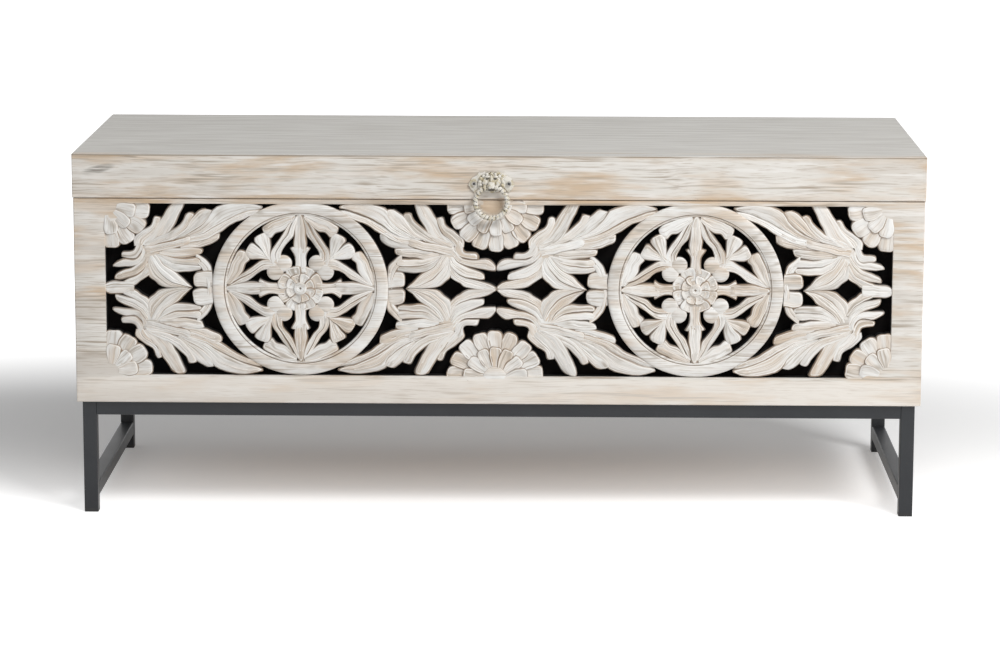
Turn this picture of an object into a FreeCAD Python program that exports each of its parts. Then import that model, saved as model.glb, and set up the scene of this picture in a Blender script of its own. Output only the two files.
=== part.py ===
# Carved storage trunk on a square-tube stand, in millimetres.
# X runs along the trunk, Y from its front to its back, Z up from the floor.
# The origin is on the floor, under the middle of the whole object.
import FreeCAD
import Part
import math
import os

Vector = FreeCAD.Vector

# Overall
LID_LENGTH = 1150.0
LID_DEPTH = 450.0
BASE_HEIGHT = 155.0
BOX_HEIGHT = 280.0
LID_GAP = 1.0
LID_HEIGHT = 60.0
LID_OVERHANG = 1.0

# Boards
FRONT_THICKNESS = 22.0
SIDE_THICKNESS = 20.0
BACK_THICKNESS = 18.0
BOTTOM_THICKNESS = 12.0
BACKING_THICKNESS = 4.0
LID_TOP_THICKNESS = 16.0
LID_RAIL_THICKNESS = 20.0
CLEAT_WIDTH = 24.0
CLEAT_HEIGHT = 18.0
EDGE_ROUND = 1.5
BOARD_CLEARANCE = 0.5

# Carved and pierced field of the front panel
STILE_WIDTH = 42.0
BOTTOM_BORDER = 40.0
TOP_BORDER = 6.5
CARVING_RECESS = 5.0
MEDALLION_RING_WIDTH = 19.5
MEDALLION_BITE = 1.5
ROSETTE_RADIUS = 64.0
BACKING_MARGIN = 8.0
BACKING_TOP_MARGIN = 4.0

# Stand
TUBE = 19.0
TUBE_WALL = 1.5
TUBE_ROUND = 1.5
STAND_INSET = 7.0
FOOT_HEIGHT = 5.0
FOOT_PLUG_HEIGHT = 15.0
FOOT_PLUG_CLEARANCE = 0.2
STRETCHER_HEIGHT = 20.0
TAB_LENGTH = 40.0
TAB_WIDTH = 28.0
TAB_THICKNESS = 3.0
TAB_SCREW_SETBACK = 12.0

# Dowels and wood screws
DOWEL_RADIUS = 4.0
DOWEL_LENGTH = 30.0
DOWEL_SEAT = 11.0
TOP_DOWEL_LENGTH = 24.0
TOP_DOWEL_SEAT = 9.0
DOWEL_END_CLEARANCE = 0.5
SCREW_RADIUS = 2.0
SCREW_HEAD_RADIUS = 4.0
SCREW_HEAD_HEIGHT = 2.5
CLEAT_SCREW_LENGTH = 38.0
BOTTOM_SCREW_LENGTH = 26.0
STAND_SCREW_LENGTH = 16.0
BACKING_SCREW_LENGTH = 12.0
BACKING_SCREW_RADIUS = 1.2
BACKING_SCREW_HEAD_RADIUS = 3.0
BACKING_SCREW_HEAD_HEIGHT = 1.5
FIT_CLEARANCE = 0.05

# Hinges
HINGE_LENGTH = 76.0
HINGE_LEAF_DEPTH = 16.0
HINGE_LEAF_THICKNESS = 1.5
HINGE_BARREL_RADIUS = 3.5
HINGE_BARREL_CLEARANCE = 0.3
HINGE_KNUCKLES = 5
HINGE_KNUCKLE_GAP = 0.3
HINGE_PIN_RADIUS = 1.75
HINGE_PIN_HEAD_RADIUS = 2.6
HINGE_PIN_HEAD_HEIGHT = 1.2
HINGE_SCREW_LENGTH = 18.0
HINGE_SCREW_RADIUS = 1.5
HINGE_SCREW_HEAD_RADIUS = 2.8
HINGE_SCREW_HEAD_HEIGHT = 1.3

# Slotted lid stays, measured from the hinge axis
LID_OPENING_ANGLE = 95.0
STAY_PIVOT_FORWARD = 120.0
STAY_PIVOT_RISE = 22.0
STAY_STUD_FORWARD = 160.0
STAY_STUD_DROP = 35.0
STAY_WIDTH = 16.0
STAY_THICKNESS = 2.5
STAY_SIDE_CLEARANCE = 0.5
STUD_RADIUS = 3.0
STUD_FLANGE_RADIUS = 7.0
STUD_FLANGE_THICKNESS = 2.0
STUD_HEAD_RADIUS = 6.0
STUD_HEAD_THICKNESS = 1.5
STUD_SHANK_LENGTH = 12.0
SLOT_CLEARANCE = 0.3

# Felt bumpers
BUMPER_RADIUS = 5.0
BUMPER_SETBACK = 40.0

# Ring handle
HANDLE_LEFT_OFFSET = 9.5
HANDLE_DROP = 25.0
EYE_STANDOFF = 9.5
EYE_WIDTH = 8.0
EYE_WALL = 2.2
EYE_CLEARANCE = 0.8
RING_TUBE_RADIUS = 3.5
RING_MEAN_RADIUS = 21.5
PLATE_THICKNESS = 3.0
PLATE_RADIUS = 16.0
PLATE_RISE = 7.0
BOSS_RADIUS = 12.5
BOSS_HEIGHT = 6.0
PLATE_SCREW_REACH = 23.5
PLATE_SCREW_RISE = 3.0
PLATE_SCREW_LENGTH = 14.0
PLATE_SCREW_RADIUS = 1.5
PLATE_SCREW_HEAD_RADIUS = 3.2
PLATE_SCREW_HEAD_HEIGHT = 2.0

# Cuts run this far past the faces that they open
CUT_OVERRUN = 2.0
NEAR = 1e-6

# Places along the trunk, as shares of half the room between the sides
TAB_SHARES = (-0.62, 0.0, 0.62)
CLEAT_SCREW_SHARES = (-0.78, -0.2, 0.2, 0.78)
BOTTOM_SCREW_SHARES = (-0.9, -0.4, 0.4, 0.9)
BACKING_SCREW_SHARES = (-0.9, -0.3, 0.3, 0.9)
TOP_DOWEL_SHARES = (-0.85, -0.3, 0.3, 0.85)
HINGE_PLACE_SHARE = 0.68
HINGE_SCREW_SHARES = (-0.36, 0.0, 0.36)
# Places up or across a board, as shares of its height or depth
DOWEL_HEIGHT_SHARES = (0.14, 0.5, 0.86)
LID_DOWEL_HEIGHT_SHARES = (0.3, 0.72)
SIDE_SCREW_SHARES = (0.25, 0.75)

# Leaf lobes of a quarter field: base along, base up, tip along, tip up, width, bow.
# Along is a share of the room between the medallion's ring and the end of its field, counted from the ring.
# Up, width and bow are shares of half the field's height.
LEAF_SHARES = (
    (0.52, 0.52, -0.50, 1.02, 0.25, 0.05),
    (0.36, 0.60, -0.01, 0.97, 0.17, 0.03),
    (0.38, 0.58, 0.18, 0.93, 0.11, 0.02),
    (0.42, 0.57, -0.10, 0.60, 0.17, 0.03),
    (0.44, 0.48, 0.04, 0.46, 0.17, 0.02),
    (0.56, 0.54, 0.33, 1.07, 0.15, 0.02),
    (0.62, 0.52, 0.52, 0.84, 0.11, 0.02),
    (0.52, 0.45, 0.94, 0.25, 0.18, 0.07),
    (0.52, 0.36, 0.92, 0.14, 0.13, 0.03),
    (0.54, 0.34, 1.03, 0.02, 0.20, -0.06),
    (0.60, 0.36, 0.15, -0.02, 0.22, 0.06),
    (0.58, 0.34, 0.05, 0.24, 0.17, -0.04),
    (0.34, 0.42, 0.00, -0.04, 0.13, -0.16),
    (0.60, 0.46, 0.76, 0.80, 0.17, 0.04),
)
# Round buds and roots of the leaves: along, up, radius
LEAF_DISC_SHARES = (
    (0.09, 0.10, 0.107),
    (0.10, 0.00, 0.09),
    (0.57, 0.45, 0.16),
    (0.44, 0.50, 0.13),
)
# Lobes inside a medallion, as shares of its ring's inner radius; each has a twin across the diagonal.
MEDALLION_SHARES = (
    (0.36, 0.36, 0.01, 0.98, 0.11, -0.15),
    (0.32, 0.32, 0.60, 0.74, 0.20, -0.02),
    (-0.05, 1.00, 0.56, 0.78, 0.16, 0.08),
    (0.00, 0.20, 0.00, 1.03, 0.17, 0.00),
    (0.00, 0.40, 0.14, 0.60, 0.11, 0.00),
    (0.00, 0.74, 0.00, 1.06, 0.26, 0.00),
)
# Round buds on the diagonals of a medallion: along, up, radius
MEDALLION_DISC_SHARES = ((0.25, 0.38, 0.11),)
MEDALLION_FLOWER_SHARE = 0.31
# Outline of a lobe: places along its spine, and half widths there as shares of its width
LOBE_WAIST_SHARE = 0.35
LOBE_SHOULDER_SHARE = 0.74
LOBE_BASE_SHARE = 0.26
LOBE_WAIST_WIDTH_SHARE = 0.43
LOBE_SHOULDER_WIDTH_SHARE = 0.46
# Petals of the flowers in the field's corners
PETAL_REACH_SHARE = 0.80
PETAL_RADIUS_SHARE = 0.20
PETALS_PER_QUARTER = 4
# Lobes of the handle plate: across, up, radius, as shares of the plate's radius
PLATE_LOBE_SHARES = (
    (0.0, 0.0, 1.0),
    (0.0, 0.42, 0.52),
    (-0.62, 0.34, 0.42),
    (0.62, 0.34, 0.42),
    (-0.95, -0.05, 0.45),
    (0.95, -0.05, 0.45),
)

# Planes that the pieces share
half_lid = LID_LENGTH / 2
half_box = half_lid - LID_OVERHANG
half_room = half_box - SIDE_THICKNESS
box_depth = LID_DEPTH - 2 * LID_OVERHANG
eye_hole_radius = RING_TUBE_RADIUS + EYE_CLEARANCE
eye_radius = eye_hole_radius + EYE_WALL
hinge_offset = HINGE_BARREL_RADIUS + HINGE_BARREL_CLEARANCE
front_reach = EYE_STANDOFF + eye_radius
back_reach = hinge_offset + HINGE_BARREL_RADIUS
y_front = (front_reach - back_reach - box_depth) / 2
y_back = y_front + box_depth
y_room_front = y_front + FRONT_THICKNESS
y_room_back = y_back - BACK_THICKNESS
z_box = BASE_HEIGHT
z_rim = z_box + BOX_HEIGHT
z_lid = z_rim + LID_GAP
z_top = z_lid + LID_HEIGHT
z_lid_board = z_top - LID_TOP_THICKNESS
z_floor_board = z_box + CLEAT_HEIGHT
hinge_axis = Vector(0, y_back + hinge_offset, z_rim + LID_GAP / 2)

ALONG_X = Vector(1, 0, 0)
ALONG_Y = Vector(0, 1, 0)
ALONG_Z = Vector(0, 0, 1)


def write(name, shape):
    shape.exportStep("parts/" + name + ".step")


def box(low, high):
    size = high - low
    return Part.makeBox(size.x, size.y, size.z, low)


def edges_on(shape, axis, level, along=None):
    # Edges that lie in one plane, all of them or only those that run along one direction
    picked = []
    for edge in shape.Edges:
        ends = [vertex.Point for vertex in edge.Vertexes]
        in_plane = all(abs(getattr(end, axis) - level) < NEAR for end in ends)
        run = ends[-1] - ends[0]
        if in_plane and (along is None or run.cross(along).Length < NEAR):
            picked.append(edge)
    return picked


def eased(shape, edges):
    return shape.makeFillet(EDGE_ROUND, edges)


def cylinder(radius, start, end):
    run = end - start
    return Part.makeCylinder(radius, run.Length, start, run)


def pan_screw(seat, into, radius, head_radius, head_height, length):
    # A round head that stands on the seat, with its shank running into the wood
    head = cylinder(head_radius, seat, seat - into * head_height)
    return head.fuse(cylinder(radius, seat, seat + into * length)).removeSplitter()


def pan_screw_hole(seat, into, radius, length):
    end = seat + into * (length + FIT_CLEARANCE)
    return cylinder(radius + FIT_CLEARANCE, seat - into * CUT_OVERRUN, end)


def flush_screw(face, into, radius, head_radius, head_height, length):
    # A countersunk head that ends level with the face
    head = Part.makeCone(head_radius, radius, head_height, face, into)
    return head.fuse(cylinder(radius, face, face + into * length)).removeSplitter()


def flush_screw_hole(face, into, radius, head_radius, head_height, length):
    return flush_screw(face, into, radius + FIT_CLEARANCE, head_radius + FIT_CLEARANCE,
                       head_height, length + FIT_CLEARANCE)


def dowels(places, into, length, seat):
    # Pegs across a joint: seat is the depth in the first board, the rest is in the second
    pegs = []
    holes = []
    for place in places:
        start = place - into * seat
        end = start + into * length
        pegs.append(cylinder(DOWEL_RADIUS, start, end))
        holes.append(cylinder(DOWEL_RADIUS + FIT_CLEARANCE, start - into * DOWEL_END_CLEARANCE,
                              end + into * DOWEL_END_CLEARANCE))
    return pegs, holes


# Dowels between the panels of the box, between the rails of the lid, and under the lid's top board
half_dowel_line = half_room + SIDE_THICKNESS / 2
box_dowel_places = [(sign * half_dowel_line, z_box + BOX_HEIGHT * share)
                    for sign in (-1, 1) for share in DOWEL_HEIGHT_SHARES]
front_pegs, front_peg_holes = dowels([Vector(x, y_room_front, z) for x, z in box_dowel_places],
                                     ALONG_Y, DOWEL_LENGTH, DOWEL_SEAT)
back_pegs, back_peg_holes = dowels([Vector(x, y_room_back, z) for x, z in box_dowel_places],
                                   -ALONG_Y, DOWEL_LENGTH, DOWEL_SEAT)
y_lid_face = y_front - LID_OVERHANG
y_lid_front = y_lid_face + LID_RAIL_THICKNESS
y_lid_back = y_back - LID_RAIL_THICKNESS
half_lid_line = (half_room + half_lid) / 2
lid_dowel_places = [(sign * half_lid_line, z_lid + (z_lid_board - z_lid) * share)
                    for sign in (-1, 1) for share in LID_DOWEL_HEIGHT_SHARES]
lid_front_pegs, lid_front_holes = dowels([Vector(x, y_lid_front, z) for x, z in lid_dowel_places],
                                         ALONG_Y, DOWEL_LENGTH, DOWEL_SEAT)
lid_back_pegs, lid_back_holes = dowels([Vector(x, y_lid_back, z) for x, z in lid_dowel_places],
                                       -ALONG_Y, DOWEL_LENGTH, DOWEL_SEAT)
lid_rail_middle = LID_RAIL_THICKNESS / 2
top_dowel_places = []
for share in TOP_DOWEL_SHARES:
    top_dowel_places.append(Vector(half_room * share, y_lid_face + lid_rail_middle, z_lid_board))
    top_dowel_places.append(Vector(half_room * share, y_back - lid_rail_middle, z_lid_board))
for share in SIDE_SCREW_SHARES:
    y_peg = y_lid_front + (y_lid_back - y_lid_front) * share
    top_dowel_places.append(Vector(-half_lid_line, y_peg, z_lid_board))
    top_dowel_places.append(Vector(half_lid_line, y_peg, z_lid_board))
top_pegs, top_peg_holes = dowels(top_dowel_places, -ALONG_Z, TOP_DOWEL_LENGTH, TOP_DOWEL_SEAT)

# Screws of the cleats, the bottom panel, the backing board and the stand
z_cleat_screw = z_box + CLEAT_HEIGHT / 2
y_front_cleat = y_room_front + CLEAT_WIDTH
y_back_cleat = y_room_back - CLEAT_WIDTH
half_cleat = half_room - CLEAT_WIDTH
cleat_screws = []
for share in CLEAT_SCREW_SHARES:
    cleat_screws.append((Vector(half_room * share, y_front_cleat, z_cleat_screw), -ALONG_Y))
    cleat_screws.append((Vector(half_room * share, y_back_cleat, z_cleat_screw), ALONG_Y))
for share in SIDE_SCREW_SHARES:
    y_screw = y_front_cleat + (y_back_cleat - y_front_cleat) * share
    cleat_screws.append((Vector(-half_cleat, y_screw, z_cleat_screw), -ALONG_X))
    cleat_screws.append((Vector(half_cleat, y_screw, z_cleat_screw), ALONG_X))
cleat_screw_holes = [flush_screw_hole(face, into, SCREW_RADIUS, SCREW_HEAD_RADIUS, SCREW_HEAD_HEIGHT,
                                      CLEAT_SCREW_LENGTH) for face, into in cleat_screws]

z_bottom_top = z_floor_board + BOTTOM_THICKNESS
bottom_screws = []
for share in BOTTOM_SCREW_SHARES:
    bottom_screws.append(Vector(half_room * share, y_room_front + CLEAT_WIDTH / 2, z_bottom_top))
    bottom_screws.append(Vector(half_room * share, y_room_back - CLEAT_WIDTH / 2, z_bottom_top))
bottom_screw_holes = [flush_screw_hole(face, -ALONG_Z, SCREW_RADIUS, SCREW_HEAD_RADIUS, SCREW_HEAD_HEIGHT,
                                       BOTTOM_SCREW_LENGTH) for face in bottom_screws]

half_field = half_box - STILE_WIDTH
z_field_low = z_box + BOTTOM_BORDER
z_field_high = z_rim - TOP_BORDER
y_backing = y_room_front + BACKING_THICKNESS
z_backing_low = z_field_low - BACKING_MARGIN
z_backing_high = z_field_high + BACKING_TOP_MARGIN
backing_screws = []
for share in BACKING_SCREW_SHARES:
    backing_screws.append(Vector(half_field * share, y_backing, z_backing_low + BACKING_MARGIN / 2))
for share in SIDE_SCREW_SHARES:
    z_screw = z_field_low + (z_field_high - z_field_low) * share
    backing_screws.append(Vector(-half_field - BACKING_MARGIN / 2, y_backing, z_screw))
    backing_screws.append(Vector(half_field + BACKING_MARGIN / 2, y_backing, z_screw))
backing_screw_holes = [pan_screw_hole(seat, -ALONG_Y, BACKING_SCREW_RADIUS, BACKING_SCREW_LENGTH)
                       for seat in backing_screws]

y_stand_front = y_front + STAND_INSET
y_stand_back = y_back - STAND_INSET
half_stand = half_box - STAND_INSET
half_rail = half_stand - TUBE
y_tab_front = y_stand_front + TUBE
y_tab_back = y_stand_back - TUBE
z_tab = z_box - TAB_THICKNESS
stand_screws = []
for share in TAB_SHARES:
    stand_screws.append(Vector(half_rail * share, y_tab_front + TAB_SCREW_SETBACK, z_tab))
    stand_screws.append(Vector(half_rail * share, y_tab_back - TAB_SCREW_SETBACK, z_tab))
stand_screw_holes = [pan_screw_hole(seat, ALONG_Z, SCREW_RADIUS, STAND_SCREW_LENGTH)
                     for seat in stand_screws]

# Screws of the hinges: down into the box's back panel and up into the lid's back rail
hinge_places = [-half_room * HINGE_PLACE_SHARE, half_room * HINGE_PLACE_SHARE]
y_leaf = y_back - HINGE_LEAF_DEPTH
hinge_screw_places = [Vector(place + HINGE_LENGTH * share, y_back - HINGE_LEAF_DEPTH / 2, hinge_axis.z)
                      for place in hinge_places for share in HINGE_SCREW_SHARES]
hinge_screw_sizes = (HINGE_SCREW_RADIUS, HINGE_SCREW_HEAD_RADIUS, HINGE_SCREW_HEAD_HEIGHT,
                     HINGE_SCREW_LENGTH)
case_hinge_holes = [flush_screw_hole(face, -ALONG_Z, *hinge_screw_sizes) for face in hinge_screw_places]
lid_hinge_holes = [flush_screw_hole(face, ALONG_Z, *hinge_screw_sizes) for face in hinge_screw_places]

# Pivot of each stay on the lid, and the stud on the box that its slot runs on
stay_pivot = hinge_axis + Vector(0, -STAY_PIVOT_FORWARD, STAY_PIVOT_RISE)
stay_stud = hinge_axis + Vector(0, -STAY_STUD_FORWARD, -STAY_STUD_DROP)


def shoulder_stud(place, side, wall):
    # Flange on the wall, shoulder that carries the stay, head inside it, shank in the wood
    inward = ALONG_X * -side
    seat = Vector(side * wall, place.y, place.z)
    flange_end = seat + inward * STUD_FLANGE_THICKNESS
    shoulder_end = flange_end + inward * (STAY_THICKNESS + 2 * STAY_SIDE_CLEARANCE)
    head_end = shoulder_end + inward * STUD_HEAD_THICKNESS
    flange = cylinder(STUD_FLANGE_RADIUS, seat, flange_end)
    shoulder = cylinder(STUD_RADIUS, flange_end, shoulder_end)
    head = cylinder(STUD_HEAD_RADIUS, shoulder_end, head_end)
    shank = cylinder(SCREW_RADIUS, seat, seat - inward * STUD_SHANK_LENGTH)
    return flange.multiFuse([shoulder, head, shank]).removeSplitter()


def stud_hole(place, side, wall):
    outward = ALONG_X * side
    return pan_screw_hole(Vector(side * wall, place.y, place.z), outward, SCREW_RADIUS, STUD_SHANK_LENGTH)


# Carving of the front panel
mid_field = (z_field_low + z_field_high) / 2
cell_length = half_field / 2
cell_height = (z_field_high - z_field_low) / 2
ring_outer = cell_height + MEDALLION_BITE
ring_inner = ring_outer - MEDALLION_RING_WIDTH
leaf_room = cell_length - ring_outer
cell_centre = Vector(cell_length, y_front, mid_field)


def cell_point(along, up):
    return cell_centre + Vector(along, 0, up)


def disc(centre, radius):
    return Part.Face(Part.Wire(Part.makeCircle(radius, centre, ALONG_Y)))


def lobe(base, tip, width, bow):
    # A blade on a bowed spine: blunt base, swelling sides, round tip
    run = tip - base
    across = Vector(-run.z, 0, run.x).normalize()

    def at(share, sideways):
        return base + run * share + across * (bow * 4 * share * (1 - share) + width * sideways)

    ends = [at(0, LOBE_BASE_SHARE), at(0, -LOBE_BASE_SHARE)]
    waist = [at(LOBE_WAIST_SHARE, LOBE_WAIST_WIDTH_SHARE), at(LOBE_WAIST_SHARE, -LOBE_WAIST_WIDTH_SHARE)]
    shoulders = [at(LOBE_SHOULDER_SHARE, LOBE_SHOULDER_WIDTH_SHARE),
                 at(LOBE_SHOULDER_SHARE, -LOBE_SHOULDER_WIDTH_SHARE)]
    edges = [Part.LineSegment(ends[1], ends[0]), Part.Arc(ends[0], waist[0], shoulders[0]),
             Part.Arc(shoulders[0], tip, shoulders[1]), Part.Arc(shoulders[1], waist[1], ends[1])]
    return Part.Face(Part.Wire([edge.toShape() for edge in edges]))


def leaf_lobes():
    shapes = []
    for base_along, base_up, tip_along, tip_up, width, bow in LEAF_SHARES:
        base = cell_point(ring_outer + leaf_room * base_along, cell_height * base_up)
        tip = cell_point(ring_outer + leaf_room * tip_along, cell_height * tip_up)
        shapes.append(lobe(base, tip, cell_height * width, cell_height * bow))
    for along, up, radius in LEAF_DISC_SHARES:
        centre = cell_point(ring_outer + leaf_room * along, cell_height * up)
        shapes.append(disc(centre, cell_height * radius))
    return shapes


def medallion_ring():
    return disc(cell_centre, ring_outer).cut(disc(cell_centre, ring_inner))


def medallion_lobes():
    shapes = [medallion_ring(), disc(cell_centre, ring_inner * MEDALLION_FLOWER_SHARE)]
    for base_along, base_up, tip_along, tip_up, width, bow in MEDALLION_SHARES:
        thickness = ring_inner * width
        curve = ring_inner * bow
        base = Vector(base_along, 0, base_up) * ring_inner
        tip = Vector(tip_along, 0, tip_up) * ring_inner
        twin_base = Vector(base.z, 0, base.x)
        twin_tip = Vector(tip.z, 0, tip.x)
        shapes.append(lobe(cell_centre + base, cell_centre + tip, thickness, curve))
        shapes.append(lobe(cell_centre + twin_base, cell_centre + twin_tip, thickness, -curve))
    for along, up, radius in MEDALLION_DISC_SHARES:
        shapes.append(disc(cell_point(ring_inner * along, ring_inner * up), ring_inner * radius))
        shapes.append(disc(cell_point(ring_inner * up, ring_inner * along), ring_inner * radius))
    return shapes


def corner_flower():
    centre = cell_point(cell_length, cell_height)
    reach = ROSETTE_RADIUS * PETAL_REACH_SHARE
    shapes = [disc(centre, reach)]
    for count in range(PETALS_PER_QUARTER + 1):
        turn = math.pi + math.pi / 2 * count / PETALS_PER_QUARTER
        petal = centre + Vector(math.cos(turn), 0, math.sin(turn)) * reach
        shapes.append(disc(petal, ROSETTE_RADIUS * PETAL_RADIUS_SHARE))
    return shapes


def rectangle(low, high):
    corners = [low, Vector(high.x, low.y, low.z), high, Vector(low.x, low.y, high.z), low]
    return Part.Face(Part.makePolygon(corners))


def mirrored(shapes, point, normal):
    return shapes + [shape.mirror(point, normal) for shape in shapes]


def field_holes():
    # What is left open between the lobes of a quarter field, then copied to all eight quarters
    quarter = rectangle(cell_point(0, 0), cell_point(cell_length, cell_height))
    open_quarter = quarter.cut(leaf_lobes() + medallion_lobes() + corner_flower())
    holes = mirrored(open_quarter.Faces, cell_centre, ALONG_Z)
    holes = mirrored(holes, cell_centre, ALONG_X)
    holes = mirrored(holes, Vector(0, 0, 0), ALONG_X)
    joined = holes[0].multiFuse(holes[1:]).removeSplitter()
    depth = ALONG_Y * (FRONT_THICKNESS + 2 * CUT_OVERRUN)
    return [face.translated(ALONG_Y * -CUT_OVERRUN).extrude(depth) for face in joined.Faces]


def field_recess():
    # The carving lies behind the face of the border, apart from the two medallion rings
    low = Vector(-half_field, y_front, z_field_low)
    high = Vector(half_field, y_front, z_field_high)
    rings = mirrored([medallion_ring()], Vector(0, 0, 0), ALONG_X)
    ground = rectangle(low, high).cut(rings)
    depth = ALONG_Y * (CARVING_RECESS + CUT_OVERRUN)
    return [face.translated(ALONG_Y * -CUT_OVERRUN).extrude(depth) for face in ground.Faces]


def front_panel():
    board = box(Vector(-half_box, y_front, z_box), Vector(half_box, y_room_front, z_rim))
    board = eased(board, edges_on(board, "y", y_front))
    board = board.cut(field_recess())
    board = board.cut(field_holes())
    return board.cut(front_peg_holes + cleat_screw_holes + backing_screw_holes)


def backing_board():
    low = Vector(-half_field - BACKING_MARGIN, y_room_front, z_backing_low)
    high = Vector(half_field + BACKING_MARGIN, y_backing, z_backing_high)
    return box(low, high).cut(backing_screw_holes)


def hinge_mortises(z_low, z_high):
    half_leaf = HINGE_LENGTH / 2
    y_open = y_back + CUT_OVERRUN
    return [box(Vector(place - half_leaf, y_leaf, z_low), Vector(place + half_leaf, y_open, z_high))
            for place in hinge_places]


def back_panel():
    board = box(Vector(-half_box, y_room_back, z_box), Vector(half_box, y_back, z_rim))
    board = eased(board, edges_on(board, "y", y_back))
    mortises = hinge_mortises(hinge_axis.z - HINGE_LEAF_THICKNESS, hinge_axis.z + CUT_OVERRUN)
    return board.cut(mortises + back_peg_holes + cleat_screw_holes + case_hinge_holes)


def side_panel(side):
    inner = side * half_room
    outer = side * half_box
    low = Vector(min(inner, outer), y_room_front, z_box)
    high = Vector(max(inner, outer), y_room_back, z_rim)
    board = box(low, high)
    board = eased(board, edges_on(board, "x", outer, ALONG_Y))
    holes = front_peg_holes + back_peg_holes + cleat_screw_holes
    return board.cut(holes + [stud_hole(stay_stud, side, half_room)])


def cleat(x_low, x_high, y_low, y_high):
    strip = box(Vector(x_low, y_low, z_box), Vector(x_high, y_high, z_floor_board))
    return strip.cut(cleat_screw_holes + bottom_screw_holes + stand_screw_holes)


def bottom_panel():
    low = Vector(-half_room + BOARD_CLEARANCE, y_room_front + BOARD_CLEARANCE, z_floor_board)
    high = Vector(half_room - BOARD_CLEARANCE, y_room_back - BOARD_CLEARANCE, z_bottom_top)
    return box(low, high).cut(bottom_screw_holes)


def tube(low, high):
    # Square tube along the longest side of its box, open at both ends
    size = high - low
    run = max((size.x, ALONG_X), (size.y, ALONG_Y), (size.z, ALONG_Z), key=lambda pair: pair[0])[1]
    outer = box(low, high)
    long_edges = [edge for edge in outer.Edges
                  if (edge.Vertexes[1].Point - edge.Vertexes[0].Point).cross(run).Length < NEAR]
    outer = outer.makeFillet(TUBE_ROUND, long_edges)
    wall = (Vector(1, 1, 1) - run) * TUBE_WALL
    past_end = run * CUT_OVERRUN
    return outer.cut(box(low + wall - past_end, high - wall + past_end))


def foot_cap(low):
    # Head as wide as the tube, and a plug pushed up into it
    head = box(low, low + Vector(TUBE, TUBE, FOOT_HEIGHT))
    upright = [edge for edge in head.Edges
               if (edge.Vertexes[1].Point - edge.Vertexes[0].Point).cross(ALONG_Z).Length < NEAR]
    head = head.makeFillet(TUBE_ROUND, upright)
    inset = TUBE_WALL + FOOT_PLUG_CLEARANCE
    plug_low = low + Vector(inset, inset, 0)
    plug_high = low + Vector(TUBE - inset, TUBE - inset, FOOT_HEIGHT + FOOT_PLUG_HEIGHT)
    return head.fuse(box(plug_low, plug_high)).removeSplitter()


def fixing_tabs():
    tabs = []
    half_tab = TAB_LENGTH / 2
    rows = ((y_tab_front, y_tab_front + TAB_WIDTH), (y_tab_back - TAB_WIDTH, y_tab_back))
    for share in TAB_SHARES:
        middle = half_rail * share
        for y_low, y_high in rows:
            tab = box(Vector(middle - half_tab, y_low, z_tab), Vector(middle + half_tab, y_high, z_box))
            tabs.append(tab.cut(stand_screw_holes))
    return Part.makeCompound(tabs)


def hinge_leaf(place, on_case):
    # A plate let into the edge of the board, with every second knuckle of the barrel
    z_face = hinge_axis.z
    z_seat = z_face - HINGE_LEAF_THICKNESS if on_case else z_face + HINGE_LEAF_THICKNESS
    z_low = min(z_face, z_seat)
    z_high = max(z_face, z_seat)
    start = place - HINGE_LENGTH / 2
    shape = box(Vector(start, y_leaf, z_low), Vector(start + HINGE_LENGTH, y_back, z_high))
    pitch = (HINGE_LENGTH + HINGE_KNUCKLE_GAP) / HINGE_KNUCKLES
    for count in range(0 if on_case else 1, HINGE_KNUCKLES, 2):
        knuckle_start = start + pitch * count
        knuckle_end = knuckle_start + pitch - HINGE_KNUCKLE_GAP
        axis_start = Vector(knuckle_start, hinge_axis.y, hinge_axis.z)
        axis_end = Vector(knuckle_end, hinge_axis.y, hinge_axis.z)
        tongue = box(Vector(knuckle_start, y_back, z_low), Vector(knuckle_end, hinge_axis.y, z_high))
        shape = shape.multiFuse([tongue, cylinder(HINGE_BARREL_RADIUS, axis_start, axis_end)])
    bore_start = Vector(start - CUT_OVERRUN, hinge_axis.y, hinge_axis.z)
    bore_end = Vector(start + HINGE_LENGTH + CUT_OVERRUN, hinge_axis.y, hinge_axis.z)
    holes = case_hinge_holes if on_case else lid_hinge_holes
    bore = cylinder(HINGE_PIN_RADIUS + FIT_CLEARANCE, bore_start, bore_end)
    return shape.removeSplitter().cut([bore] + holes)


def hinge_pin(place):
    start = Vector(place - HINGE_LENGTH / 2, hinge_axis.y, hinge_axis.z)
    end = start + ALONG_X * HINGE_LENGTH
    pin = cylinder(HINGE_PIN_RADIUS, start, end)
    heads = [cylinder(HINGE_PIN_HEAD_RADIUS, start, start - ALONG_X * HINGE_PIN_HEAD_HEIGHT),
             cylinder(HINGE_PIN_HEAD_RADIUS, end, end + ALONG_X * HINGE_PIN_HEAD_HEIGHT)]
    return pin.multiFuse(heads).removeSplitter()


def turned(direction, degrees):
    # The lid's opening turn, applied to a vector in the YZ plane
    angle = math.radians(degrees)
    return Vector(0, direction.y * math.cos(angle) + direction.z * math.sin(angle),
                  direction.z * math.cos(angle) - direction.y * math.sin(angle))


def curved_strip(centre, start, half_width, first, last):
    # A band about an arc that turns with the lid, with round ends
    def at(degrees, distance):
        return centre + turned(start, degrees).normalize() * distance

    radius = start.Length
    inner = radius - half_width
    outer = radius + half_width
    halfway = (first + last) / 2
    tip = turned(start, last).normalize()
    tail = turned(start, first).normalize()
    ahead = turned(tip, 90)
    behind = turned(tail, -90)
    edges = [Part.Arc(at(first, outer), at(halfway, outer), at(last, outer)),
             Part.Arc(at(last, outer), at(last, radius) + ahead * half_width, at(last, inner)),
             Part.Arc(at(last, inner), at(halfway, inner), at(first, inner)),
             Part.Arc(at(first, inner), at(first, radius) + behind * half_width, at(first, outer))]
    return Part.Face(Part.Wire([edge.toShape() for edge in edges]))


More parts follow.
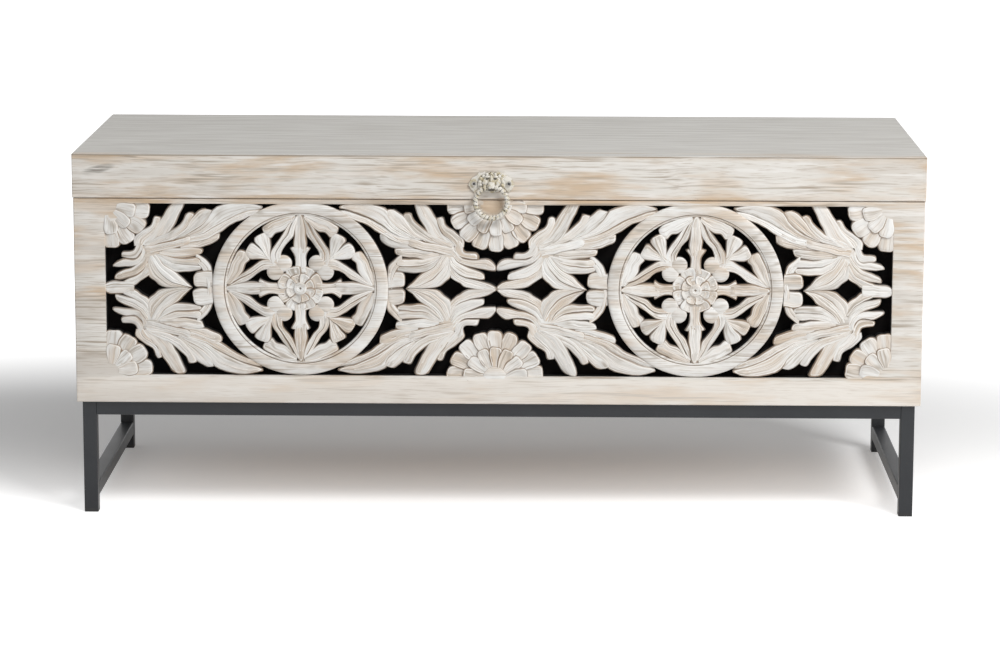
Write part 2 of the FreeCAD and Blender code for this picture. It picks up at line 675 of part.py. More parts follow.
def lid_stay(side):
    # The stay keeps its angle as the lid turns, so the stud draws an arc in it as wide as the pivot's swing
    x_stay = side * (half_room - STUD_FLANGE_THICKNESS - STAY_SIDE_CLEARANCE - STAY_THICKNESS / 2)
    half_thickness = STAY_THICKNESS / 2
    plane = Vector(x_stay - half_thickness, 0, 0)
    to_pivot = stay_pivot - hinge_axis
    centre = plane + stay_stud + to_pivot
    start = -to_pivot
    half_width = STAY_WIDTH / 2
    band = curved_strip(centre, start, half_width, 0, LID_OPENING_ANGLE)
    eye = plane + stay_pivot
    slot_start = plane + stay_stud
    run = slot_start - eye
    across = run.cross(ALONG_X).normalize() * half_width
    corners = [eye + across, slot_start + across, slot_start - across, eye - across, eye + across]
    tongue = Part.Face(Part.makePolygon(corners))
    thickness = ALONG_X * STAY_THICKNESS
    body = band.extrude(thickness).multiFuse([tongue.extrude(thickness),
                                              cylinder(half_width, eye, eye + thickness)]).removeSplitter()
    slot = curved_strip(centre, start, STUD_RADIUS + SLOT_CLEARANCE, 0, LID_OPENING_ANGLE)
    overrun = ALONG_X * CUT_OVERRUN
    slot_cut = slot.translated(-overrun).extrude(thickness + overrun * 2)
    eye_hole = cylinder(STUD_RADIUS + FIT_CLEARANCE, eye - overrun, eye + thickness + overrun)
    return body.cut([slot_cut, eye_hole])


def below_lid_board(edges):
    # The edges that a lid rail eases: the seam under the top board is glued flush
    return [edge for edge in edges if edge.BoundBox.ZMin < z_lid_board - NEAR]


def lid_top_board():
    board = box(Vector(-half_lid, y_lid_face, z_lid_board), Vector(half_lid, y_back + LID_OVERHANG, z_top))
    board = eased(board, [edge for edge in board.Edges if edge.BoundBox.ZMax > z_lid_board + NEAR])
    return board.cut(top_peg_holes)


def lid_front_rail():
    board = box(Vector(-half_lid, y_lid_face, z_lid), Vector(half_lid, y_lid_front, z_lid_board))
    board = eased(board, below_lid_board(edges_on(board, "y", y_lid_face)))
    return board.cut(lid_front_holes + top_peg_holes + plate_screw_holes)


def lid_back_rail():
    board = box(Vector(-half_lid, y_lid_back, z_lid), Vector(half_lid, y_back, z_lid_board))
    board = eased(board, below_lid_board(edges_on(board, "y", y_back)))
    mortises = hinge_mortises(hinge_axis.z - CUT_OVERRUN, hinge_axis.z + HINGE_LEAF_THICKNESS)
    return board.cut(mortises + lid_back_holes + top_peg_holes + lid_hinge_holes)


def lid_side_rail(side):
    inner = side * half_room
    outer = side * half_lid
    low = Vector(min(inner, outer), y_lid_front, z_lid)
    high = Vector(max(inner, outer), y_lid_back, z_lid_board)
    board = box(low, high)
    board = eased(board, below_lid_board(edges_on(board, "x", outer, ALONG_Y)))
    holes = lid_front_holes + lid_back_holes + top_peg_holes
    return board.cut(holes + [stud_hole(stay_pivot, side, half_room)])


# Ring handle on the lid's front rail
eye_centre = Vector(-HANDLE_LEFT_OFFSET, y_front - EYE_STANDOFF, z_lid_board - HANDLE_DROP)
plate_centre = Vector(eye_centre.x, y_lid_face, eye_centre.z + PLATE_RISE)
plate_face = plate_centre - ALONG_Y * PLATE_THICKNESS
z_plate_screw = eye_centre.z + PLATE_SCREW_RISE
plate_screws = [Vector(eye_centre.x + sign * PLATE_SCREW_REACH, plate_face.y, z_plate_screw)
                for sign in (-1, 1)]
plate_screw_holes = [pan_screw_hole(seat, ALONG_Y, PLATE_SCREW_RADIUS, PLATE_SCREW_LENGTH)
                     for seat in plate_screws]


def handle_plate():
    # Lobed plate, domed boss, and the lug whose eye carries the ring
    lobes = [disc(plate_centre + Vector(across, 0, up) * PLATE_RADIUS, PLATE_RADIUS * radius)
             for across, up, radius in PLATE_LOBE_SHARES]
    ears = [disc(Vector(seat.x, y_lid_face, seat.z), PLATE_SCREW_HEAD_RADIUS + PLATE_THICKNESS)
            for seat in plate_screws]
    outline = lobes[0].multiFuse(lobes[1:] + ears).removeSplitter()
    plate = outline.Faces[0].extrude(ALONG_Y * -PLATE_THICKNESS)
    ball_radius = (BOSS_RADIUS ** 2 + BOSS_HEIGHT ** 2) / (2 * BOSS_HEIGHT)
    ball = Part.makeSphere(ball_radius, plate_face + ALONG_Y * (ball_radius - BOSS_HEIGHT))
    reach = Vector(ball_radius, ball_radius, ball_radius)
    boss = ball.common(box(plate_face - reach, plate_face + Vector(ball_radius, 0, ball_radius)))
    half_eye = ALONG_X * (EYE_WIDTH / 2)
    lug_round = cylinder(eye_radius, eye_centre - half_eye, eye_centre + half_eye)
    lug_foot = box(eye_centre - half_eye - ALONG_Z * eye_radius,
                   Vector(eye_centre.x, y_lid_face, eye_centre.z) + half_eye + ALONG_Z * eye_radius)
    overrun = ALONG_X * (EYE_WIDTH + CUT_OVERRUN)
    eye = cylinder(eye_hole_radius, eye_centre - overrun, eye_centre + overrun)
    shape = plate.multiFuse([boss, lug_round, lug_foot]).removeSplitter()
    return shape.cut([eye] + plate_screw_holes)


def handle_ring():
    centre = eye_centre - ALONG_Z * RING_MEAN_RADIUS
    return Part.makeTorus(RING_MEAN_RADIUS, RING_TUBE_RADIUS, centre, ALONG_Y)


def felt_bumpers():
    places = [Vector(sign * half_dowel_line, y_room_front + BUMPER_SETBACK, z_rim) for sign in (-1, 1)]
    rise = ALONG_Z * LID_GAP
    return Part.makeCompound([cylinder(BUMPER_RADIUS, place, place + rise) for place in places])


os.makedirs("parts", exist_ok=True)

# Box
write("front_panel", front_panel())
write("front_backing_board", backing_board())
write("back_panel", back_panel())
write("left_side_panel", side_panel(-1))
write("right_side_panel", side_panel(1))
write("bottom_panel", bottom_panel())
write("front_cleat", cleat(-half_room, half_room, y_room_front, y_front_cleat))
write("back_cleat", cleat(-half_room, half_room, y_back_cleat, y_room_back))
write("left_cleat", cleat(-half_room, -half_cleat, y_front_cleat, y_back_cleat))
write("right_cleat", cleat(half_cleat, half_room, y_front_cleat, y_back_cleat))
write("front_corner_dowels", Part.makeCompound(front_pegs))
write("back_corner_dowels", Part.makeCompound(back_pegs))
write("cleat_screws", Part.makeCompound(
    [flush_screw(face, into, SCREW_RADIUS, SCREW_HEAD_RADIUS, SCREW_HEAD_HEIGHT, CLEAT_SCREW_LENGTH)
     for face, into in cleat_screws]))
write("bottom_panel_screws", Part.makeCompound(
    [flush_screw(face, -ALONG_Z, SCREW_RADIUS, SCREW_HEAD_RADIUS, SCREW_HEAD_HEIGHT, BOTTOM_SCREW_LENGTH)
     for face in bottom_screws]))
write("backing_board_screws", Part.makeCompound(
    [pan_screw(seat, -ALONG_Y, BACKING_SCREW_RADIUS, BACKING_SCREW_HEAD_RADIUS, BACKING_SCREW_HEAD_HEIGHT,
               BACKING_SCREW_LENGTH) for seat in backing_screws]))
write("felt_bumpers", felt_bumpers())

# Stand
for side_name, x_low in (("left", -half_stand), ("right", half_rail)):
    for end_name, y_low in (("front", y_stand_front), ("back", y_tab_back)):
        leg_low = Vector(x_low, y_low, 0)
        write("leg_" + end_name + "_" + side_name,
              tube(leg_low + ALONG_Z * FOOT_HEIGHT, leg_low + Vector(TUBE, TUBE, z_box)))
        write("foot_cap_" + end_name + "_" + side_name, foot_cap(leg_low))
    for piece_name, z_low in (("rail", z_box - TUBE), ("stretcher", STRETCHER_HEIGHT)):
        write(side_name + "_" + piece_name,
              tube(Vector(x_low, y_tab_front, z_low), Vector(x_low + TUBE, y_tab_back, z_low + TUBE)))
for end_name, y_low in (("front", y_stand_front), ("back", y_tab_back)):
    write(end_name + "_rail",
          tube(Vector(-half_rail, y_low, z_box - TUBE), Vector(half_rail, y_low + TUBE, z_box)))
write("stand_fixing_tabs", fixing_tabs())
write("stand_screws", Part.makeCompound(
    [pan_screw(seat, ALONG_Z, SCREW_RADIUS, SCREW_HEAD_RADIUS, SCREW_HEAD_HEIGHT, STAND_SCREW_LENGTH)
     for seat in stand_screws]))

# Hinges and lid stays
for side_name, side, hinge_place in (("left", -1, hinge_places[0]), ("right", 1, hinge_places[1])):
    write(side_name + "_hinge_case_leaf", hinge_leaf(hinge_place, True))
    write(side_name + "_hinge_lid_leaf", hinge_leaf(hinge_place, False))
    write(side_name + "_hinge_pin", hinge_pin(hinge_place))
    write(side_name + "_stay_stud", shoulder_stud(stay_stud, side, half_room))
    write(side_name + "_stay_pivot", shoulder_stud(stay_pivot, side, half_room))
    write(side_name + "_lid_stay", lid_stay(side))
write("hinge_case_screws", Part.makeCompound(
    [flush_screw(face, -ALONG_Z, *hinge_screw_sizes) for face in hinge_screw_places]))
write("hinge_lid_screws", Part.makeCompound(
    [flush_screw(face, ALONG_Z, *hinge_screw_sizes) for face in hinge_screw_places]))

# Lid
write("lid_top_board", lid_top_board())
write("lid_front_rail", lid_front_rail())
write("lid_back_rail", lid_back_rail())
write("lid_left_rail", lid_side_rail(-1))
write("lid_right_rail", lid_side_rail(1))
write("lid_corner_dowels", Part.makeCompound(lid_front_pegs + lid_back_pegs))
write("lid_top_dowels", Part.makeCompound(top_pegs))
write("handle_plate", handle_plate())
write("handle_plate_screws", Part.makeCompound(
    [pan_screw(seat, ALONG_Y, PLATE_SCREW_RADIUS, PLATE_SCREW_HEAD_RADIUS, PLATE_SCREW_HEAD_HEIGHT,
               PLATE_SCREW_LENGTH) for seat in plate_screws]))
write("handle_ring", handle_ring())
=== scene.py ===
import math
import random

import bmesh
import bpy
from mathutils import Matrix, Vector, noise


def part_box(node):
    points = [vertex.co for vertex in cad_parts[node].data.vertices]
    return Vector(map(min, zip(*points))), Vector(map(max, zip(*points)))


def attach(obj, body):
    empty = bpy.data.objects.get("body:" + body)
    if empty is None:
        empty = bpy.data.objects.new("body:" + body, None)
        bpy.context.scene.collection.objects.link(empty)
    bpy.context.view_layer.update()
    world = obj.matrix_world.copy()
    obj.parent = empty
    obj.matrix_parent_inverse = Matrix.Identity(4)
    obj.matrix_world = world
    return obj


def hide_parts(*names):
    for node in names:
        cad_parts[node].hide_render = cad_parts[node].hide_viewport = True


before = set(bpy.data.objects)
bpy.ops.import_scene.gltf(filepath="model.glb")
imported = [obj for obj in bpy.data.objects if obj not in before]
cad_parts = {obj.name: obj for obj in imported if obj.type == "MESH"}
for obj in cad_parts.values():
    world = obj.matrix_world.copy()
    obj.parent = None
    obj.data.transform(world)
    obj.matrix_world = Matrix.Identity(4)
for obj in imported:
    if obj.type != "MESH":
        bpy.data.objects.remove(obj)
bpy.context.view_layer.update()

MM = 0.001
HAND_SEED = 7
hand = random.Random(HAND_SEED)
noise.seed_set(HAND_SEED)

# Boards that the carving and the handle are set out from
panel_low, panel_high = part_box("front_panel")
backing_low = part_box("front_backing_board")[0]
rail_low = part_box("lid_front_rail")[0]
board_low, board_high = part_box("lid_top_board")
ring_low, ring_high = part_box("handle_ring")

# Handle: the mask is centred over the ring, and the ring hangs from its eye
MASK_RISE = 3 * MM
MASK_ROUND = 0.8 * MM
EYE_SIDES = 12
EYE_STEPS = 32
EYE_HALF_WIDTH = 4 * MM
EYE_MEAN_RADIUS = 5.6 * MM
EYE_HALF_WALL = 1.2 * MM
# Darkening of the nose band, and painted shade under it as nostrils
NOSE_DIRT_AND_SHADE = 0.2
NOSTRIL_SHADE = 0.9
NOSTRIL_AHEAD = 0.3
NOSTRIL_BELOW = 0.25
ROPE_STRANDS = 26
ROPE_SIDES = 16
ROPE_STEPS = 160
ROPE_RELIEF = 0.065
# Darkening in the rope's valleys: patina and painted shade
ROPE_DIRT_AND_SHADE = 0.35
ring_tube = (ring_high.y - ring_low.y) / 2
ring_mean = (ring_high.x - ring_low.x) / 2 - ring_tube
ring_middle = (ring_low + ring_high) / 2
ring_hang = Vector((ring_middle.x, ring_middle.y, ring_high.z - ring_tube))
mask_centre = Vector((ring_hang.x, ring_hang.z + MASK_RISE))
mask_back = rail_low.y

# Mask, in millimetres: right half of its outline, from its crown down to its chin
MASK_THICKNESS = 2.6
MASK_OUTLINE = (
    (0, 16), (5, 15.2), (8.5, 16.8), (13, 14.6), (17, 15.4), (20, 11), (26, 8), (31.5, -1.5), (28, -7),
    (23, -12.5), (18, -7), (9, -11), (0, -12.5),
)
# Bosses of the casting: place along and up, radii along, up and out, lift off the rail
FACE_BOSS = (0, 3, 15, 11.5, 4, MASK_THICKNESS)
BROW_BOSS = (5.2, 10, 4.6, 1.9, 3.4, 5.5)
EYE_BOSS = (5.4, 7.2, 2.2, 1.4, 2.2, 5.6)
CHEEK_BOSS = (8.5, 1.5, 4.4, 4.6, 3.2, 4.6)
RUFF_BOSS = (16.5, -1, 2.6, 6, 2.4, MASK_THICKNESS)
NOSE_BOSS = (0, 7, 2.6, 6.5, 4.2, 5.5)
CHIN_BOSS = (0, -9.5, 6.5, 3, 2.4, MASK_THICKNESS)
BOSS_SIDES = 18
BOSS_RINGS = 12
# How fast a boss's darkening round its foot, patina and painted shade, fades up its side
BOSS_DIRT_AND_SHADE_FALL = 1.1
# Mane: distance from the mask's middle and radius of the tufts in each row
MANE_ROWS = ((13.5, 2.8), (9.5, 2.2))
MANE_TUFTS = 11
MANE_START = math.radians(-18)
MANE_SPREAD = math.radians(216)
MANE_BREADTH = 1.15
MANE_HEIGHT = 0.85
MANE_RISE = 2
TUFT_DEPTH = 3.2
TUFT_LIFT = MASK_THICKNESS + 0.6

# Carved field of the front panel
STILE_WIDTH = 42 * MM
BOTTOM_BORDER = 38 * MM
TOP_BORDER = 6.5 * MM
MEDALLION_RING_WIDTH = 19.5 * MM
MEDALLION_BITE = 1.5 * MM
BACK_CLEARANCE = 0.3 * MM
BORDER_ROUND = 2 * MM
OPENING_ROUND = 0.8 * MM
CARVING_LIFT = 2.2 * MM
MEDALLION_SHIFTS = {-1: -2 * MM, 1: 0.5 * MM}
INNER_SHIFTS = {-1: -3 * MM, 1: -1.5 * MM}
face = panel_low.y
carving_back = backing_low.y - BACK_CLEARANCE
back_depth = carving_back - face
half_field = panel_high.x - STILE_WIDTH
field_low = panel_low.z + BOTTOM_BORDER
field_high = panel_high.z - TOP_BORDER
field_middle = (field_low + field_high) / 2 + CARVING_LIFT
cell_length = half_field / 2
ring_outer = (field_high - field_low) / 2 + MEDALLION_BITE
ring_inner = ring_outer - MEDALLION_RING_WIDTH

# The eight quarters of the field: medallion side, direction along, direction up
QUARTERS = [(side, along, up) for side in (-1, 1) for along in (-1, 1) for up in (-1, 1)]

# A finger of the carving lies between two edges, each drawn from its root to its tip through a few points
FINGER_ROWS = 15
FINGER_LANES = 12
LANE_CROWDING = 1.5
SPINE_STEPS = 8
DOME = 0.6 * MM
EDGE_FALL = 0.6 * MM
TIP_FALL = 1.6 * MM
ROOT_FALL = 0.7 * MM
EDGE_START = 0.78
TIP_START = 0.84
TIP_SQUARENESS = 4
# How far from its edges a blade is darkened, partly as dirt and partly as painted shade
DIRT_AND_SHADE_REACH = 4.5 * MM
WALL_LINE = 1.4 * MM
WALL_SPLAY = 1.0 * MM
RIB_WIDTH = 12 * MM
RIB_CUT = 0.8 * MM
RIB_HALF_SHARE = 0.01
RIB_DIRT_AND_SHADE = 0.85
ROOT_DEPTH = 2.0 * MM
ROOT_SPAN = 0.6
ROOT_MERGE = 0.8
ROOT_LINE = 0.72
VEIN_SHARE = 0.456
VEIN_HALF_SHARE = 0.02
VEIN_START = 0.1
VEIN_CUT = 0.45 * MM
VEIN_DIRT_AND_SHADE = 0.78
VEIN_WIDTH = 8 * MM
VEIN_CHANCE = 0.65

# Hand of the carver: how far a tip strays, how a blade leans, and the waver of its surface
TIP_STRAY = 0.9 * MM
LEAN = 1.4 * MM
DEPTH_STRAY = 0.3 * MM
BLUNT_RANGE = (0.02, 0.12)
ARM_BLUNT = 0.08
WAVER = 0.4 * MM
WAVER_LENGTH = 9 * MM
EDGE_WAVER = 1.3 * MM
EDGE_WAVER_LENGTH = 13 * MM
LOG_STRETCH = 5.0

# Fingers of the leaves in one quarter of a medallion's field: depth behind the face, then the two edges.
# A point is the distance along from the medallion's centre and up from the field's middle, in millimetres.
LEAF_FINGERS = (
    (1.5, ((210, 57), (187, 61), (164, 67), (148, 73)), ((207, 46), (191, 49), (168, 54), (148, 58))),
    (2.4, ((210, 61), (187, 72), (174, 78), (158, 92), (152, 105)),
     ((209, 57), (178, 63), (155, 77), (139, 101))),
    (1.8, ((174, 65), (157, 80), (144, 98), (130, 110)), ((171, 66), (146, 77), (125, 92), (112, 106))),
    (1.3, ((168, 67), (145, 77), (127, 92), (114, 110), (80, 118), (52, 114)),
     ((161, 67), (135, 73), (117, 83), (99, 93), (74, 104), (52, 109))),
    (2.0, ((161, 67), (135, 73), (117, 83), (99, 93), (74, 104), (52, 109)),
     ((160, 61), (132, 65), (106, 77), (90, 88), (73, 95), (54, 103))),
    (2.6, ((165, 61), (140, 66), (118, 77), (107, 76)), ((161, 54), (143, 55), (131, 56), (108, 64))),
    (2.2, ((188, 56), (165, 54), (145, 56), (130, 55)), ((191, 44), (173, 41), (155, 42), (133, 45))),
    (2.5, ((214, 60), (203, 73), (189, 93), (173, 119)), ((205, 55), (182, 67), (169, 88), (154, 119))),
    (2.8, ((224, 57), (224, 67), (213, 78), (201, 86), (197, 99)),
     ((214, 57), (206, 67), (193, 78), (186, 97))),
    (2.8, ((207, 30), (206, 17), (198, 9), (185, 1), (146, -1)),
     ((203, 43), (195, 27), (182, 13), (165, 5), (146, 0))),
    (2.2, ((203, 43), (195, 27), (182, 13), (165, 5), (146, 0)),
     ((195, 45), (184, 30), (167, 20), (155, 8), (146, 1))),
    (1.6, ((198, 47), (181, 44), (165, 41), (148, 41), (136, 42)),
     ((194, 45), (175, 34), (155, 31), (132, 31))),
    (2.4, ((195, 46), (175, 34), (155, 31), (132, 31)),
     ((190, 38), (181, 28), (170, 22), (155, 22), (134, 23))),
    (3.0, ((141, 47), (126, 35), (120, 23), (118, -4)),
     ((141, 36), (135, 29), (130, 20), (127, 10), (127, -4))),
)
# Fingers that point to the end of the panel
OUTER_FINGERS = (
    (2.6, ((219, 64), (222, 57), (226, 50), (240, 48), (243, 46)),
     ((214, 56), (216, 47), (224, 39), (243, 40))),
    (2.0, ((214, 54), (216, 45), (226, 38), (240, 39), (254, 34)),
     ((209, 49), (214, 38), (224, 30), (256, 28))),
    (2.4, ((208, 47), (215, 37), (226, 29), (240, 23), (251, 18)),
     ((207, 33), (214, 23), (226, 16), (252, 9))),
    (2.8, ((206, 35), (214, 23), (226, 16), (245, 7)), ((206, 17), (216, 10), (225, 3), (243, 0))),
)
# Fingers that reach over to the other half of the panel
INNER_FINGERS = (
    (2.2, ((218, 67), (223, 62), (224, 53), (230, 50), (243, 50)),
     ((212, 57), (215, 47), (227, 42), (246, 41))),
    (2.8, ((210, 54), (222, 42), (238, 40), (256, 41), (268, 33)),
     ((208, 47), (218, 36), (239, 29), (268, 23))),
    (2.4, ((207, 46), (217, 36), (228, 31), (239, 26), (253, 21)),
     ((205, 36), (213, 24), (228, 16), (254, 12))),
    (2.6, ((205, 38), (213, 24), (228, 16), (253, 10), (268, 4)),
     ((207, 16), (217, 9), (230, 2), (268, -2))),
)
# The finger that lies on the middle line at each end of the panel
END_FINGER = (1.6, ((226, 7), (245, 8), (257, 8), (268, 4)), ((226, -7), (245, -8), (257, -8), (268, -4)))
# Hollowed lobe beside a medallion's ring
LEAF_LOBE = (1.8, ((119, 1), (132, 1), (146, 2)), ((119, 22), (132, 23), (145, 21)))
LOBE_HOLLOW = 0.9 * MM
# Smooth root that the blades of a leaf grow from: along, up, radius, depth
LEAF_ROOT = (203, 48, 13, 2.9)
LEAF_ROOT_DOME = 0.2
# Fingers inside a medallion; each has a twin across the diagonal
MEDALLION_FINGERS = (
    (2.6, ((36, 28), (40, 37), (40, 47), (36, 56), (23, 75), (6, 101)),
     ((31, 31), (33, 43), (30, 54), (19, 71), (4, 101))),
    (2.2, ((31, 31), (33, 43), (30, 54), (19, 71), (4, 101)),
     ((24, 34), (26, 45), (23, 55), (14, 66), (8, 76), (0, 101))),
    (2.4, ((36, 31), (47, 46), (55, 56), (61, 63), (62, 69)),
     ((38, 37), (40, 46), (40, 58), (41, 68), (45, 77))),
    (3.0, ((6, 101), (23, 98), (38, 92), (53, 84)),
     ((5, 95), (14, 86), (24, 78), (34, 75), (40, 69), (48, 71))),
)
# Round bud beside the flower, with its twin: along, up, radius, depth
MEDALLION_BUD = (22.5, 34, 11.5, 1.9)
BUD_DOME = 0.5
# The four straight arms of a medallion: depth, then half width and distance from the centre
MEDALLION_ARMS = (
    (2.3, ((8, 22), (6.5, 38), (8.5, 47), (15, 57))),
    (1.5, ((7, 48), (8, 58), (8.5, 67), (7, 80), (3.5, 102))),
)

# Section of a medallion's ring: share of its width from the inside, depth in millimetres
RING_SECTION_SHARES = (
    (0.00, 6.0), (0.02, 3.2), (0.08, 2.0), (0.13, 1.8), (0.16, 3.0), (0.19, 1.5), (0.30, 0.7),
    (0.50, 0.1), (0.74, 0.2), (0.88, 0.6), (0.96, 1.4), (1.00, 3.0),
)
RING_STEPS = 128
RING_LINE_SHARES = (0.16, 0.19)

# Section of a bud: shares of its radius out from its middle and down from its crest
BUD_SECTION_SHARES = ((0.0, 0.0), (0.4, 0.02), (0.7, 0.08), (0.9, 0.2), (1.0, 0.4))
BUD_STEPS = 28

# Flower at the middle of a medallion: number, root and tip radius, root and tip half width, depth
FLOWER_LAYERS = (
    (8, 13 * MM, 31.5 * MM, 5 * MM, 13 * MM, 1.5 * MM),
    (8, 6 * MM, 20 * MM, 2.6 * MM, 8.8 * MM, 0.5 * MM),
)
# Its button: radius and depth of the drilled eye, then shares of the button's radius and depth
BUTTON_RADIUS = 8.8 * MM
BUTTON_STEPS = 32
DRILL_RADIUS = 1.4 * MM
GROOVE_SHARE = 0.62
DRILLED_SECTION = ((0, 3.0 * MM), (DRILL_RADIUS, 2.6 * MM), (1.8 * MM, 0.2 * MM))
BUTTON_SECTION_SHARES = (
    (0.56, -0.5 * MM), (GROOVE_SHARE, 0.5 * MM), (0.68, -0.4 * MM), (0.9, 0.1 * MM), (1.0, 1.4 * MM),
)

# Flowers at the corners of the field and at the middle of its long sides
HALF_FLOWER_LAYERS = (
    (9, 34 * MM, 66 * MM, 6.5 * MM, 12.4 * MM, 1.6 * MM),
    (7, 14 * MM, 44 * MM, 4 * MM, 10.8 * MM, -0.2 * MM),
)
CORNER_LAYERS = (
    (4, 28 * MM, 58 * MM, 8 * MM, 13.5 * MM, 0.8 * MM),
    (3, 12 * MM, 39 * MM, 5 * MM, 12 * MM, -1.1 * MM),
)
HALF_BUTTONS = {-1: 23 * MM, 1: 16.5 * MM}
HALF_BUTTON_CREST = -0.4 * MM
HALF_BUTTON_DOME = 0.2
HALF_FLOWER_SPREAD = math.radians(188)
CORNER_SPREAD = math.radians(104)
CORNER_INSET = 4 * MM
CORNER_BOARD = 38 * MM
CORNER_HOLLOW = 0.6 * MM
FLOWER_OUTSETS = {-1: 2 * MM, 1: 2.5 * MM}
MIDDLE_FLOWER_SHIFT = -4 * MM
PETAL_ROUND = 0.16
PETAL_HOLLOW = 2.2 * MM
PETAL_STRAY = 0.02
PETAL_WAIST = 0.56
PETAL_TIP = 0.8
TOP_GAP = 0.6 * MM
SHARP_ANGLE = math.radians(38)
MERGE_DISTANCE = 0.001 * MM

# Limed wood: noise drawn out along the grain, as spots in a metre along and across, and its detail
WASH_BANDS = (1.6, 20.0, 2.0)
WASH_WORKED = (6.0, 34.0, 2.0)
WASH_CLOUDS = (8.0, 36.0, 3.0)
WASH_STROKES = (9.0, 110.0, 3.0)
WASH_LINES = (9.0, 380.0, 2.0)
WASH_HAIRS = (34.0, 800.0, 3.0)
GRAIN_BEND = 0.012
GRAIN_BEND_SCALE = 5.0
GRAIN_DEPTH = 0.3 * MM
GRAIN_STRENGTH = 0.35
TOOL_CELLS = (70.0, 190.0, 70.0)
TOOL_DEPTH = 1.2 * MM
TOOL_STRENGTH = 0.9
# Where each board was cut from the log
LID_LOG = (0.0, 0.0, 0.0)
SIDE_LOG = (0.7, 0.3, 0.2)
BACK_LOG = (3.1, 0.4, 1.3)
FRONT_LOG = (1.7, 0.0, 0.6)
# Wear: how far it reaches from an edge, and the share of it
LID_FOOT_WEAR = 12 * MM
LID_EDGE_WEAR = 9 * MM
PANEL_EDGE_WEAR = 14 * MM
TOP_WEAR_START = 4 * MM
TOP_WEAR_END = 45 * MM
SIDE_PATINA = 0.5
CARVED_PATINA = 0.75
RING_RUB = 0.8
# Painted light: share and blend of the whiter paint low on the front board, as lit by the floor
BOUNCE_LIGHT_SHARE = 0.5
BOUNCE_LIGHT_BLEND = 6 * MM
# The dark brown rim under the lid's top, and the greyer top itself, measured down from it
RIM_START = 3.4 * MM
RIM_END = 1.6 * MM
GREY_START = 1.5 * MM
GREY_END = 0.3 * MM
# The knot in the lid's front rail
KNOT_ALONG = 36 * MM
KNOT_BELOW_TOP = 21 * MM
KNOT_LENGTH = 26 * MM
KNOT_HEIGHT = 7 * MM
KNOT_TILT = 0.22
KNOT_FADE_START = 1 * MM
KNOT_FADE_END = 3 * MM
# Painted shade, black, on the deep walls of the openings: depth where it starts and ends, and its blend past
# the field
OPENING_SHADE_START = 3.5 * MM
OPENING_SHADE_END = 8 * MM
OPENING_SHADE_BLEND_START = 0.5 * MM
OPENING_SHADE_BLEND_END = 1.5 * MM
# Depth of the other finishes
FIBRE_DEPTH = 0.4 * MM
PEEL_DEPTH = 0.12 * MM
MOULD_DEPTH = 0.1 * MM
CASTING_DEPTH = 0.4 * MM
FELT_DEPTH = 0.3 * MM
# Painted shade of the driver recess in the handle's screws, as shares of the head's radius
RECESS_START = 0.45
RECESS_END = 0.62

# Stage: the floor glows white, less in an ellipse behind the trunk that paints where its shadow lies
FLOOR_HALF_WIDTH = 30
FLOOR_GLOW_WIDTH = 0.95
FLOOR_GLOW_DEPTH = 0.44
FLOOR_GLOW_LEFT = -0.12
FLOOR_GLOW_BACK = 0.42
FLOOR_GLOW_START = 0.5
FLOOR_GLOW_END = 2.2
FLOOR_NEAR_GLOW = 0.14
ROOM_LIGHT = 0.26
# Lamps: name, place, aim, size and power
SOFTBOXES = (
    ("key", (2.1, -3.0, 3.6), (0.0, 0.0, 0.25), (2.0, 1.6), 148),
    ("right_fill", (2.5, -2.2, 0.7), (0.2, 0.0, 0.25), (1.0, 1.2), 7),
)
CAMERA_YAW = -0.01448
CAMERA_PITCH = 0.18023
CAMERA_ROLL = 0.0027
CAMERA_LENS = 126.51
CAMERA_SENSOR = 36
CAMERA_REACH = 100
CAMERA_RIGHT = 0.07035
CAMERA_BEFORE_LID = 4.68343
CAMERA_HEIGHT = 1.10647


